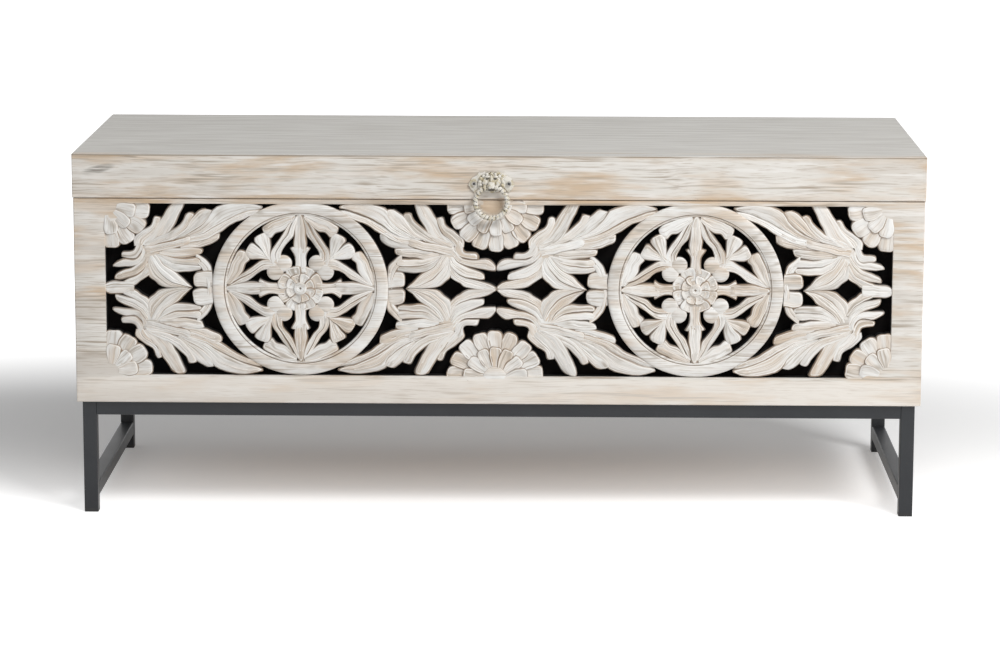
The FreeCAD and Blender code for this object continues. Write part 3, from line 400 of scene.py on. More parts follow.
class Paint:
    """One socket of a node tree. Arithmetic on it adds Math nodes."""

    def __init__(self, tree, socket=None):
        self.tree = tree
        self.socket = socket

    def add(self, kind, settings=(), sockets=(), out=0):
        """A new node: its settings first, then the values or links of its sockets."""
        node = self.tree.nodes.new(kind)
        for name, value in dict(settings).items():
            setattr(node, name, value)
        for key, value in dict(sockets).items():
            if isinstance(value, Paint):
                self.tree.links.new(value.socket, node.inputs[key])
            else:
                node.inputs[key].default_value = value
        return Paint(self.tree, node.outputs[out])

    def maths(self, operation, first, second=0.0):
        return self.add("ShaderNodeMath", {"operation": operation}, {0: first, 1: second})

    def __add__(self, other):
        return self.maths("ADD", self, other)

    def __sub__(self, other):
        return self.maths("SUBTRACT", self, other)

    def __mul__(self, other):
        return self.maths("MULTIPLY", self, other)

    def __truediv__(self, other):
        return self.maths("DIVIDE", self, other)

    def __rsub__(self, other):
        return self.maths("SUBTRACT", other, self)

    __radd__ = __add__
    __rmul__ = __mul__

    def size(self):
        return self.maths("ABSOLUTE", self)

    def root(self):
        return self.maths("SQRT", self)

    def mixed(self, other, share):
        """A blend that holds a share of another value."""
        return self * (1 - share) + other * share

    def step(self, low, high):
        """0 below low, 1 above high, smooth between them."""
        settings = {"interpolation_type": "SMOOTHSTEP"}
        return self.add("ShaderNodeMapRange", settings, {"Value": self, "From Min": low, "From Max": high})

    def axis(self, name):
        return self.add("ShaderNodeSeparateXYZ", (), {0: self}, name)

    def stretched(self, by):
        return self.add("ShaderNodeVectorMath", {"operation": "MULTIPLY"}, {0: self, 1: by})

    def shifted(self, by):
        return self.add("ShaderNodeVectorMath", {"operation": "ADD"}, {0: self, 1: by})

    def attribute(self, name, out):
        return self.add("ShaderNodeAttribute", {"attribute_name": name}, (), out)

    def speckle(self, scale, detail=2.0, roughness=0.5):
        sockets = {"Vector": self, "Scale": scale, "Detail": detail, "Roughness": roughness}
        return self.add("ShaderNodeTexNoise", (), sockets)

    def tint(self, first, second):
        """A mix of two colours, with this value as its factor. Sockets 6 and 7 of a Mix node hold colours."""
        sockets = {0: self}
        for key, tone in ((6, first), (7, second)):
            sockets[key] = tone if isinstance(tone, Paint) else (*tone, 1)
        return self.add("ShaderNodeMix", {"data_type": "RGBA"}, sockets, 2)

    def relief(self, distance, strength):
        """A bumped normal, with this value as its height."""
        return self.add("ShaderNodeBump", (), {"Height": self, "Distance": distance, "Strength": strength})

    def in_sight(self):
        """1 for what the camera sees by itself, in a mirror or through glass, 0 for light on the trunk."""
        seen, mirrored, through = (self.add("ShaderNodeLightPath", out=ray) for ray in (
            "Is Camera Ray", "Is Glossy Ray", "Is Transmission Ray"))
        return self.maths("MAXIMUM", self.maths("MAXIMUM", seen, mirrored), through)


def light_value(level):
    """A display level from 0 to 255 as the light that it stands for."""
    share = level / 255
    return share / 12.92 if share <= 0.04045 else ((share + 0.055) / 1.055) ** 2.4


def colour(red, green, blue):
    return (light_value(red), light_value(green), light_value(blue))


# Tones of the limed wood
LIME_WHITE = colour(233, 229, 222)
LIME_GREY = colour(218, 211, 202)
LIME_STROKE = colour(242, 239, 234)
# Painted light: whiter paint low on the front board, as lit from the floor
BOUNCE_LIGHT_WHITE = colour(250, 242, 232)
# Painted highlight beside the dark edge lines of the carving
PAINTED_HIGHLIGHT_WHITE = colour(252, 251, 248)
CARVED_WHITE = colour(248, 247, 244)
CARVED_GREY = colour(230, 227, 222)
BARE_TAN = colour(209, 182, 150)
GRAIN_LINE = colour(172, 158, 142)
GRAIN_HAIR = colour(182, 166, 148)
# Greyer tones of the lid's top
TOP_GREY_PALE = colour(224, 222, 217)
TOP_GREY_DEEP = colour(209, 206, 200)
TOP_GREY_LINE = colour(192, 187, 181)
# Dark brown of the rim just under the lid's top edge
TOP_RIM_BROWN = colour(134, 120, 104)
KNOT_GREY = colour(142, 136, 128)
# Tan and dark brown near carved edges and cuts: stain and grime, partly painted shade
STAIN_AND_SHADE_TAN = colour(208, 180, 148)
GRIME_AND_SHADE = colour(110, 89, 69)
TOOL_GREY = colour(186, 177, 165)
# Painted shade: black deep in the openings
OPENING_SHADE_BLACK = colour(15, 13, 12)

# Tones of the other finishes
PLAIN_PALE = colour(206, 176, 138)
PLAIN_DEEP = colour(178, 142, 102)
STAIN_BLACK = colour(9, 8, 8)
STAIN_BROWN = colour(19, 14, 12)
COAT_DEEP = colour(30, 32, 36)
COAT_PALE = colour(39, 41, 44)
PLASTIC_DEEP = colour(22, 22, 23)
PLASTIC_PALE = colour(30, 30, 31)
BRASS_WHITE = colour(232, 228, 219)
BRASS_CREAM = colour(200, 189, 160)
BRASS_BARE = colour(152, 132, 94)
# Dark in the casting's hollows: patina and painted shade
BRASS_PATINA_AND_SHADE = colour(48, 42, 34)
SCREW_PAINT = colour(196, 192, 184)
SCREW_CHIP = colour(150, 147, 142)
# Painted shade of the screws' driver recesses
SCREW_RECESS_SHADE = colour(26, 25, 26)
FELT_DEEP = colour(112, 108, 102)
FELT_PALE = colour(146, 142, 136)


# Finishes

def new_finish(name):
    """An empty material, the place of a point on the trunk, and the surface shader."""
    finish = bpy.data.materials.new(name)
    finish.use_nodes = True
    place = Paint(finish.node_tree).add("ShaderNodeTexCoord", out="Object")
    return finish, place, finish.node_tree.nodes["Principled BSDF"]


def connect(shader, **sockets):
    """Values or links for a shader; an underscore stands for a space."""
    tree = shader.id_data
    for key, value in sockets.items():
        socket = shader.inputs[key.replace("_", " ")]
        if isinstance(value, Paint):
            tree.links.new(value.socket, socket)
        else:
            socket.default_value = value


def in_opening(place):
    """1 on the deep walls inside the field of the front panel, which are painted black as shade, 0 elsewhere.
    """
    start, end = OPENING_SHADE_BLEND_START, OPENING_SHADE_BLEND_END
    deep = place.axis("Y").step(face + OPENING_SHADE_START, face + OPENING_SHADE_END)
    beside = 1 - place.axis("X").size().step(half_field + start, half_field + end)
    above = place.axis("Z").step(field_low - end, field_low - start)
    below = 1 - place.axis("Z").step(field_high + start, field_high + end)
    return deep * beside * above * below


def whitewash(name, grain, log, patina=1.0, carved=False, pierced=False, worn=(), bounce_lit_below=None, knots=(),
              grey_top=None):
    """Limed wood with fibres along the axes of grain, cut from a place in the log.

    patina is the share of bare wood. Strokes on carved wood follow each blade, and pierced wood has the deep
    walls of its openings painted black as shade. worn lists axis, level and reach of edges that have lost
    their paint, and knots the places of knots along and up. Below one given level the paint is whiter, as
    painted light off the floor, and at and above another it is greyer. Near edges and cuts, tan stain and
    brown grime, partly painted shade, darken it, beside a whiter band of painted highlight.
    """
    finish, place, shader = new_finish(name)
    dirt_and_shade = place.attribute("dirt_and_shade", "Fac")
    straight = (place.attribute("run", "Vector") if carved else place).shifted(log)
    bent = straight.shifted(straight.speckle(GRAIN_BEND_SCALE) * GRAIN_BEND)

    def fibres(along, across, detail):
        return bent.stretched([along if axis in grain else across for axis in "XYZ"]).speckle(1.0, detail)

    bands = fibres(*WASH_BANDS)
    worked = fibres(*WASH_WORKED).step(0.42, 0.60)
    clouds = fibres(*WASH_CLOUDS)
    strokes = fibres(*WASH_STROKES)
    lines = fibres(*WASH_LINES)
    hairs = fibres(*WASH_HAIRS)
    patches = strokes.mixed(clouds, 0.5)
    ridges = hairs.mixed(lines, 0.4)
    along, deep, level = (place.axis(axis) for axis in "XYZ")

    paint = (CARVED_WHITE, CARVED_GREY) if carved else (LIME_WHITE, LIME_GREY)
    line_share = 0.75 if carved else 0.95
    base = bands.step(0.36, 0.64).tint(*paint)
    base = (clouds.mixed(strokes, 0.35).step(0.46, 0.62) * 0.85 * patina).tint(base, BARE_TAN)
    for axis, edge, reach in worn:
        near = 1 - (place.axis(axis) - edge).size().step(0.0, reach)
        base = (near * patches.step(0.36, 0.56) * 0.75).tint(base, BARE_TAN)
    base = (strokes.step(0.47, 0.64) * (0.85 - worked * 0.4)).tint(base, LIME_STROKE)
    base = (lines.step(0.50, 0.68) * worked * line_share).tint(base, GRAIN_LINE)
    base = (hairs.step(0.53, 0.68) * 0.5).tint(base, GRAIN_HAIR)
    # Painted light: the paint is whiter below a given level, as lit by light off the floor
    if bounce_lit_below is not None:
        base = ((1 - level.step(bounce_lit_below - BOUNCE_LIGHT_BLEND, bounce_lit_below)) * BOUNCE_LIGHT_SHARE).tint(base, BOUNCE_LIGHT_WHITE)
    for knot_along, knot_up in knots:
        beside = along - knot_along
        across = beside / KNOT_LENGTH
        above = (level - knot_up - beside * KNOT_TILT) / KNOT_HEIGHT
        swirl = 1 - (across * across + above * above).step(0.05, 1.0)
        swirl = swirl * (1 - deep.step(rail_low.y + KNOT_FADE_START, rail_low.y + KNOT_FADE_END))
        base = (swirl * hairs.mixed(strokes, 0.5).step(0.40, 0.58) * 0.9).tint(base, KNOT_GREY)
    # The lid's top greyer, with a dark brown rim just below its edge
    if grey_top is not None:
        grey = strokes.step(0.35, 0.65).tint(TOP_GREY_PALE, TOP_GREY_DEEP)
        grey = (lines.step(0.50, 0.70) * 0.45).tint(grey, TOP_GREY_LINE)
        ahead = 1 - deep.step(board_low.y + TOP_WEAR_START, board_low.y + TOP_WEAR_END)
        grey = (ahead * bands.mixed(clouds, 0.3).step(0.48, 0.60) * 0.6).tint(grey, BARE_TAN)
        rim = level.step(grey_top - RIM_START, grey_top - RIM_END) * patches.step(0.30, 0.50)
        base = (rim * 0.85).tint(base, TOP_RIM_BROWN)
        base = level.step(grey_top - GREY_START, grey_top - GREY_END).tint(base, grey)
    normal = ridges.relief(GRAIN_DEPTH, GRAIN_STRENGTH)
    if carved:
        cells = bent.stretched(TOOL_CELLS)
        marks = place.add("ShaderNodeTexVoronoi", {"feature": "SMOOTH_F1"}, {"Vector": cells, "Scale": 1.0})
        normal = marks.mixed(ridges, 0.25).relief(TOOL_DEPTH, TOOL_STRENGTH)
        base = (marks.step(0.38, 0.80) * worked * 0.9).tint(base, TOOL_GREY)
        across = (along - ring_hang.x) / ring_mean
        above = (level - ring_hang.z) / ring_mean + 1
        rubbed = 1 - (across * across + above * above).root().step(0.6, 1.1)
        base = (rubbed * RING_RUB).tint(base, BARE_TAN)
    # Tan stain, then dark brown grime, near edges and in cuts: partly real, partly painted shade
    stain_and_shade = dirt_and_shade.step(0.05, 0.9) * clouds.mixed(strokes, 0.4).step(0.38, 0.58)
    base = (stain_and_shade * 0.4).tint(base, STAIN_AND_SHADE_TAN)
    # Painted highlight: a whiter band beside each dark edge line
    brushed = dirt_and_shade.step(0.40, 0.58) * (1 - dirt_and_shade.step(0.66, 0.80)) * strokes.mixed(hairs, 0.4).step(0.38, 0.55)
    base = (brushed * 0.9).tint(base, PAINTED_HIGHLIGHT_WHITE)
    grime_and_shade = (dirt_and_shade + (clouds - 0.5) * 0.6).step(0.78, 0.95)
    base = (grime_and_shade * 0.68).tint(base, GRIME_AND_SHADE)
    # Painted shade: the deep walls of the openings go black
    if pierced:
        base = in_opening(place).tint(base, OPENING_SHADE_BLACK)
    connect(shader, Base_Color=base, Roughness=0.6 + hairs * 0.2, Normal=normal)
    return finish


def plain_wood():
    """Unfinished wood for what is never seen from outside."""
    finish, place, shader = new_finish("plain_wood")
    fibre = place.stretched((2.0, 40.0, 40.0)).speckle(2.0, 4.0, 0.6)
    base = fibre.step(0.3, 0.7).tint(PLAIN_PALE, PLAIN_DEEP)
    connect(shader, Base_Color=base, Roughness=0.62 + fibre * 0.2, Normal=fibre.relief(FIBRE_DEPTH, 0.4))
    return finish


def black_stain():
    finish, place, shader = new_finish("black_stain")
    fibre = place.stretched((3.0, 60.0, 60.0)).speckle(2.0, 3.0, 0.6)
    base = fibre.step(0.35, 0.75).tint(STAIN_BLACK, STAIN_BROWN)
    connect(shader, Base_Color=base, Roughness=0.85 + fibre * 0.1, Specular_IOR_Level=0.15)
    return finish


def powder_coat():
    finish, place, shader = new_finish("powder_coat")
    orange_peel = place.speckle(900.0)
    cloud = place.speckle(14.0, 3.0)
    base = cloud.step(0.3, 0.7).tint(COAT_DEEP, COAT_PALE)
    connect(shader, Base_Color=base, Roughness=0.36 + cloud * 0.12, Specular_IOR_Level=0.38,
            Normal=orange_peel.relief(PEEL_DEPTH, 0.35))
    return finish


def moulded_plastic():
    finish, place, shader = new_finish("moulded_plastic")
    grain = place.speckle(1400.0)
    base = place.speckle(60.0).step(0.3, 0.7).tint(PLASTIC_DEEP, PLASTIC_PALE)
    connect(shader, Base_Color=base, Roughness=0.5 + grain * 0.15, Normal=grain.relief(MOULD_DEPTH, 0.4))
    return finish


def limed_brass():
    """Cast brass with white paint rubbed over it, dark in its hollows with patina and painted shade."""
    finish, place, shader = new_finish("limed_brass")
    patch = place.speckle(150.0, 4.0, 0.65)
    pits = place.speckle(480.0, 3.0, 0.6)
    dirt_and_shade = place.attribute("dirt_and_shade", "Fac")
    paint = patch.step(0.44, 0.64).tint(BRASS_WHITE, BRASS_CREAM)
    rubbed = pits.mixed(patch, 0.5).step(0.53, 0.66)
    base = (rubbed * 0.6).tint(paint, BRASS_BARE)
    # Dark in the hollows: patina and painted shade
    hollow = (dirt_and_shade + (pits - 0.5) * 1.3 + (patch - 0.5) * 0.7).step(0.46, 0.74)
    base = (hollow * 0.9).tint(base, BRASS_PATINA_AND_SHADE)
    connect(shader, Base_Color=base, Metallic=rubbed * 0.6 * (1 - hollow), Roughness=0.42 + patch * 0.25,
            Normal=pits.relief(CASTING_DEPTH, 0.6))
    return finish


def limed_screws():
    """Painted screw heads, each with a dark spot of painted shade for its driver recess."""
    finish, place, shader = new_finish("limed_screws")
    low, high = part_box("handle_plate_screws")
    radius = (high.z - low.z) / 2
    up = place.axis("Z") - (low.z + radius)
    recess_shade = 0.0
    for middle in (low.x + radius, high.x - radius):
        along = place.axis("X") - middle
        away = (along * along + up * up).root()
        recess_shade = recess_shade + 1 - away.step(radius * RECESS_START, radius * RECESS_END)
    chips = place.speckle(420.0, 3.0)
    base = chips.step(0.4, 0.6).tint(SCREW_PAINT, SCREW_CHIP)
    connect(shader, Base_Color=recess_shade.tint(base, SCREW_RECESS_SHADE), Roughness=0.45 + chips * 0.2)
    return finish


def bright_steel(name, tone, roughness):
    finish, place, shader = new_finish(name)
    brushed = place.stretched((20.0, 400.0, 400.0)).speckle(3.0, 3.0)
    base = brushed.step(0.3, 0.7).tint(colour(tone, tone, tone), colour(tone - 22, tone - 20, tone - 16))
    connect(shader, Base_Color=base, Metallic=1.0, Roughness=roughness + brushed * 0.15)
    return finish


def grey_felt():
    finish, place, shader = new_finish("grey_felt")
    fuzz = place.speckle(2200.0, 3.0, 0.7)
    base = fuzz.step(0.3, 0.7).tint(FELT_DEEP, FELT_PALE)
    connect(shader, Base_Color=base, Roughness=0.95, Normal=fuzz.relief(FELT_DEPTH, 0.8))
    return finish


# Meshes

def piece(name, shell, finish, body, replaced):
    """Makes a shell an object that rides on a body and stands for a CAD node."""
    bmesh.ops.recalc_face_normals(shell, faces=shell.faces)
    for part in shell.faces:
        part.smooth = True
    for edge in shell.edges:
        edge.smooth = edge.calc_face_angle(math.pi) < SHARP_ANGLE
    mesh = bpy.data.meshes.new(name)
    shell.to_mesh(mesh)
    shell.free()
    made = bpy.data.objects.new(name, mesh)
    bpy.context.scene.collection.objects.link(made)
    mesh.materials.append(finish)
    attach(made, body)
    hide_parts(replaced)


def joined(shell, form):
    """Moves a finished form into the shell of its piece."""
    mesh = bpy.data.meshes.new("form")
    form.to_mesh(mesh)
    form.free()
    shell.from_mesh(mesh)
    bpy.data.meshes.remove(mesh)


def eased(share):
    """A share from 0 to 1 that starts and ends slowly."""
    return share * share * (3 - 2 * share)


def rail_point(rail, share):
    """A point of a smooth line through a rail's points, at a share of its run."""
    place = min(max(share, 0.0), 1.0) * (len(rail) - 1)
    count = min(int(place), len(rail) - 2)
    step = place - count
    start, end = rail[count], rail[count + 1]
    before = rail[count - 1] if count else start * 2 - end
    after = rail[count + 2] if count + 2 < len(rail) else end * 2 - start
    bend = (before * 2 - start * 5 + end * 4 - after) * step
    bend += (start * 3 - before - end * 3 + after) * step * step
    return start + ((end - before) + bend) * (step / 2)


def waver_at(spot):
    """Rise and fall of a surface that was cut by hand."""
    return WAVER * noise.noise(Vector((spot.x, 0, spot.y)) / WAVER_LENGTH)


def hand_drawn(spot):
    """A point moved a little, as an edge drawn by hand strays."""
    stray = noise.noise_vector(Vector((spot.x, 0, spot.y)) / EDGE_WAVER_LENGTH)
    return spot + Vector((stray.x, stray.z)) * EDGE_WAVER


def log_place():
    """A place in the log for a blade's strokes."""
    return Vector((hand.uniform(0, LOG_STRETCH), hand.uniform(0, LOG_STRETCH), 0))


def walled(blade, rim, dirt_and_shade, splay):
    """Walls from an open surface's rim to a flat back, splayed then straight, darkened as dirt and painted
    shade.
    """
    for at_back in (False, True):
        grown = bmesh.ops.extrude_edge_only(blade, edges=rim)["geom"]
        for part in grown:
            if isinstance(part, bmesh.types.BMVert):
                part[dirt_and_shade] = 1
                if at_back:
                    part.co.y = carving_back
                else:
                    away = splay(part.co)
                    part.co += Vector((away.x, WALL_LINE, away.y))
        rim = [part for part in grown if isinstance(part, bmesh.types.BMEdge)]
    bmesh.ops.contextual_create(blade, geom=rim)


def finger(shell, left, right, depth, hollow, blunt):
    """A carved blade between two edges: domed or hollowed, falling at its edges, tip and root.

    On the blade, s runs from 0 at its root to 1 at its tip, and t from -1 at one edge to 1 at the other.
    """
    blade = bmesh.new()
    dirt_and_shade = blade.verts.layers.float.new("dirt_and_shade")
    run = blade.verts.layers.float_vector.new("run")
    grid = bmesh.ops.create_grid(blade, x_segments=FINGER_ROWS, y_segments=FINGER_LANES, size=1)["verts"]
    rim = [edge for edge in blade.edges if edge.is_boundary]
    lean = hand.uniform(-LEAN, LEAN)
    level = depth + hand.uniform(-DEPTH_STRAY, DEPTH_STRAY)
    merge = 0.0 if hollow else ROOT_MERGE
    wide = (rail_point(left, 0.5) - rail_point(right, 0.5)).length
    long = (left[-1] - left[0]).length
    log = log_place()
    rib = wide > RIB_WIDTH and not hollow
    scored = wide > VEIN_WIDTH and not hollow
    veins = [side * VEIN_SHARE for side in (-1, 1) if hand.random() < VEIN_CHANCE and scored]
    shares = [count / SPINE_STEPS for count in range(SPINE_STEPS + 1)]
    spine = [rail_point(left, share).lerp(rail_point(right, share), 0.5) for share in shares]
    for vert in grid:
        s = (vert.co.x + 1) / 2
        t = math.copysign(1 - (1 - abs(vert.co.y)) ** LANE_CROWDING, vert.co.y)
        reach = s * (1 - blunt * t ** TIP_SQUARENESS)
        first, second = rail_point(left, reach), rail_point(right, reach)
        spot = hand_drawn(first.lerp(second, (t + 1) / 2))
        edge = max(0.0, (abs(t) - EDGE_START) / (1 - EDGE_START))
        tip = max(0.0, (s - TIP_START) / (1 - TIP_START))
        own = 1 - merge * (1 - eased(min(1.0, s / ROOT_SPAN)))
        across = DOME * t * t + EDGE_FALL * edge ** 2 + lean * t
        fall = across * own + TIP_FALL * tip ** 2 + ROOT_FALL * (1 - s) ** 3
        dish = hollow * (1 - t * t) * math.sin(math.pi * s)
        ribbed = rib and abs(t) < RIB_HALF_SHARE and s < TIP_START
        veined = VEIN_START < s < TIP_START and any(abs(t - vein) < VEIN_HALF_SHARE for vein in veins)
        cut = RIB_CUT * ribbed + VEIN_CUT * veined
        behind = ROOT_DEPTH + (level - ROOT_DEPTH) * own + fall + dish + cut + waver_at(spot)
        vert.co = (spot.x, face + behind, spot.y)
        vert[run] = log + Vector((s * long, t * wide / 2, 0))
        # Darker towards the edges, root, rib and veins: dirt in the cuts, and painted shade
        to_edge = min((1 - abs(t)) * (second - first).length / 2, (1 - s) * long)
        at_edge = max(0.0, 1 - to_edge / DIRT_AND_SHADE_REACH) * (ROOT_LINE + (1 - ROOT_LINE) * own)
        vert[dirt_and_shade] = max(at_edge, RIB_DIRT_AND_SHADE * ribbed, VEIN_DIRT_AND_SHADE * veined)

    def splay(place):
        spot = Vector((place.x, place.z))
        nearest = min(spine, key=lambda point: (point - spot).length)
        return (spot - nearest).normalized() * WALL_SPLAY

    walled(blade, rim, dirt_and_shade, splay)
    joined(shell, blade)


def lathe(shell, centre, section, steps, lines, closed=False, cuts=()):
    """A turned form about a line through the face.

    section lists radius and depth, lines the radii of dirt and painted shade, and cuts the level and direction
    of saw cuts.
    """
    form = bmesh.new()
    dirt_and_shade = form.verts.layers.float.new("dirt_and_shade")
    run = form.verts.layers.float_vector.new("run")
    points = [form.verts.new((centre.x + radius, face + depth, centre.y)) for radius, depth in section]
    for point, (radius, _) in zip(points, section):
        point[dirt_and_shade] = 1 if radius in lines else 0
    pairs = list(zip(points, points[1:]))
    if closed:
        pairs.append((points[-1], points[0]))
    edges = [form.edges.new(pair) for pair in pairs]
    hub = (centre.x, face, centre.y)
    bmesh.ops.spin(form, geom=points + edges, cent=hub, axis=(0, 1, 0), angle=2 * math.pi, steps=steps,
                   use_merge=True)
    bmesh.ops.remove_doubles(form, verts=form.verts[:], dist=MERGE_DISTANCE)
    for level, up in cuts:
        parts = form.verts[:] + form.edges[:] + form.faces[:]
        bmesh.ops.bisect_plane(form, geom=parts, plane_co=(0, 0, level), plane_no=(0, 0, up), clear_outer=True)
        bmesh.ops.holes_fill(form, edges=[edge for edge in form.edges if edge.is_boundary])
    log = log_place()
    for vert in form.verts:
        out = Vector((vert.co.x, vert.co.z)) - centre
        vert[run] = log + Vector((out.x, out.y, 0))
    joined(shell, form)


def bud(shell, centre, radius, crest, dome, steps=BUD_STEPS, cuts=()):
    """A flat-topped knob."""
    section = [(radius * out, crest + radius * fall * dome) for out, fall in BUD_SECTION_SHARES]
    section += [(radius, back_depth), (0, back_depth)]
    lathe(shell, centre, section, steps, lines=(radius,), cuts=cuts)


def medallion_centre(side):
    return Vector((side * cell_length + MEDALLION_SHIFTS[side], field_middle))


def in_quarter(quarter, along, up):
    """A point of the tables, set in its quarter."""
    side, along_sign, up_sign = quarter
    shift = INNER_SHIFTS[side] if along_sign != side and along * MM > ring_outer else 0
    return medallion_centre(side) + Vector((along_sign * along * MM + shift, up_sign * up * MM))


def drawn_finger(shell, quarter, drawn, twin=False, hollow=0.0):
    """A finger of the tables, set in its quarter; a twin is turned over the diagonal."""
    depth, left, right = drawn
    stray = Vector((hand.uniform(-TIP_STRAY, TIP_STRAY), hand.uniform(-TIP_STRAY, TIP_STRAY)))
    rails = []
    for rail in (left, right):
        points = [in_quarter(quarter, *(point[::-1] if twin else point)) for point in rail]
        rails.append([point + stray * (count / (len(points) - 1)) for count, point in enumerate(points)])
    blunt = PETAL_ROUND if hollow else hand.uniform(*BLUNT_RANGE)
    finger(shell, *rails, depth * MM, hollow, blunt)


def drawn_bud(shell, quarter, drawn, dome, twin=False):
    """A bud of the tables, set in its quarter; a twin is turned over the diagonal."""
    along, up, radius, depth = drawn
    spot = in_quarter(quarter, up, along) if twin else in_quarter(quarter, along, up)
    bud(shell, spot, radius * MM, depth * MM, dome)


def leaf_carving(finish):
    """The leaves round both medallions."""
    shell = bmesh.new()
    for quarter in QUARTERS:
        side, along, up = quarter
        reaching = OUTER_FINGERS if along == side else INNER_FINGERS
        for drawn in LEAF_FINGERS + reaching:
            drawn_finger(shell, quarter, drawn)
        if along == side and up == 1:
            drawn_finger(shell, quarter, END_FINGER)
        drawn_finger(shell, quarter, LEAF_LOBE, hollow=LOBE_HOLLOW)
        drawn_bud(shell, quarter, LEAF_ROOT, LEAF_ROOT_DOME)
    piece("leaf_carving", shell, finish, "case", "front_panel")


def petals(shell, centre, layers, start, spread, top=None, hollow=PETAL_HOLLOW):
    """Layers of round-tipped petals over an arc, none of them above the level top."""
    for number, root, tip, root_half, tip_half, depth in layers:
        middle, middle_half = (root + tip) / 2, (root_half + tip_half) * PETAL_WAIST
        stations = ((root, root_half), (middle, middle_half), (tip, tip_half * PETAL_TIP))
        for count in range(number):
            angle = start + spread * (count + 0.5) / number + hand.uniform(-PETAL_STRAY, PETAL_STRAY)
            away = Vector((math.cos(angle), math.sin(angle)))
            across = Vector((-away.y, away.x))
            rails = [[centre + away * far + across * half * sign for far, half in stations]
                     for sign in (-1, 1)]
            if top is not None:
                rails = [[Vector((point.x, min(point.y, top))) for point in rail] for rail in rails]
            finger(shell, *rails, depth, hollow, PETAL_ROUND)


def flower(shell, centre):
    """Two rings of petals round a button with a drilled eye."""
    petals(shell, centre, FLOWER_LAYERS, 0, 2 * math.pi)
    section = list(DRILLED_SECTION)
    section += [(BUTTON_RADIUS * share, depth) for share, depth in BUTTON_SECTION_SHARES]
    section += [(BUTTON_RADIUS, back_depth), (0, back_depth)]
    lines = (0, DRILL_RADIUS, BUTTON_RADIUS * GROOVE_SHARE, BUTTON_RADIUS)
    lathe(shell, centre, section, BUTTON_STEPS, lines)


def medallion(name, side, finish):
    """A ring that holds a flower, four arms and the fingers between them."""
    shell = bmesh.new()
    centre = medallion_centre(side)
    for quarter in QUARTERS:
        if quarter[0] == side:
            for drawn in MEDALLION_FINGERS:
                drawn_finger(shell, quarter, drawn)
                drawn_finger(shell, quarter, drawn, twin=True)
            drawn_bud(shell, quarter, MEDALLION_BUD, BUD_DOME)
            drawn_bud(shell, quarter, MEDALLION_BUD, BUD_DOME, twin=True)
    for count in range(4):
        ahead = Vector((0, MM))
        ahead.rotate(Matrix.Rotation(count * math.pi / 2, 2))
        beside = Vector((-ahead.y, ahead.x))
        for depth, half in MEDALLION_ARMS:
            rails = [[centre + ahead * far + beside * wide * sign for wide, far in half] for sign in (1, -1)]
            finger(shell, *rails, depth * MM, 0.0, ARM_BLUNT)
    flower(shell, centre)
    section = [(ring_inner + MEDALLION_RING_WIDTH * share, depth * MM) for share, depth in RING_SECTION_SHARES]
    section += [(ring_outer, back_depth), (ring_inner, back_depth)]
    lines = [ring_inner + MEDALLION_RING_WIDTH * share for share in RING_LINE_SHARES]
    lathe(shell, centre, section, RING_STEPS, (*lines, ring_inner, ring_outer), closed=True)
    piece(name, shell, finish, "case", "front_panel")


def flower_carving(finish):
    """Half flowers at the middle of the field's long sides, and fans of petals in its corners."""
    shell = bmesh.new()
    top = panel_high.z - TOP_GAP
    for up, level in ((-1, field_high), (1, field_low)):
        centre = Vector((MIDDLE_FLOWER_SHIFT, level - up * FLOWER_OUTSETS[up]))
        start = up * math.pi / 2 - HALF_FLOWER_SPREAD / 2
        petals(shell, centre, HALF_FLOWER_LAYERS, start, HALF_FLOWER_SPREAD, top)
        cuts = [(top, 1)] if up < 0 else [(centre.y, -1)]
        bud(shell, centre, HALF_BUTTONS[up], HALF_BUTTON_CREST, HALF_BUTTON_DOME, BUTTON_STEPS, cuts)
        for side in (-1, 1):
            corner = Vector((side * (half_field - CORNER_INSET), level + up * CORNER_INSET))
            start = math.atan2(up, -side) - CORNER_SPREAD / 2
            petals(shell, corner, CORNER_LAYERS, start, CORNER_SPREAD, top, CORNER_HOLLOW)
    piece("flower_carving", shell, finish, "case", "front_panel")


def front_border(finish):
    """The board round the carving, with its worn outer edges and the sawn edges of the opening."""
    shell = bmesh.new()
    outer = [(panel_low.x, panel_low.z), (panel_high.x, panel_low.z),
             (panel_high.x, panel_high.z), (panel_low.x, panel_high.z)]
    inner = [Vector((-half_field, field_low)), Vector((half_field, field_low)),
             Vector((half_field, field_high)), Vector((-half_field, field_high))]
    rim = [shell.verts.new((x, face, z)) for x, z in outer]
    opening = []
    for count, corner in enumerate(inner):
        for beyond in (inner[count - 1], inner[(count + 1) % 4]):
            cut = corner + (beyond - corner).normalized() * CORNER_BOARD
            opening.append(shell.verts.new((cut.x, face, cut.y)))
    for count in range(4):
        after = (count + 1) % 4
        before, behind, ahead = opening[2 * count], opening[2 * count + 1], opening[2 * after]
        shell.faces.new((rim[count], behind, before))
        shell.faces.new((rim[count], rim[after], ahead, behind))
    grown = bmesh.ops.extrude_face_region(shell, geom=shell.faces[:])["geom"]
    for part in grown:
        if isinstance(part, bmesh.types.BMVert):
            part.co.y = panel_high.y
    for corners, offset, segments in ((rim, BORDER_ROUND, 4), (opening, OPENING_ROUND, 2)):
        edges = [edge for edge in shell.edges if all(vert in corners for vert in edge.verts)]
        bmesh.ops.bevel(shell, geom=edges, offset=offset, affect="EDGES", segments=segments, profile=0.5,
                        material=-1)
    piece("front_border", shell, finish, "case", "front_panel")


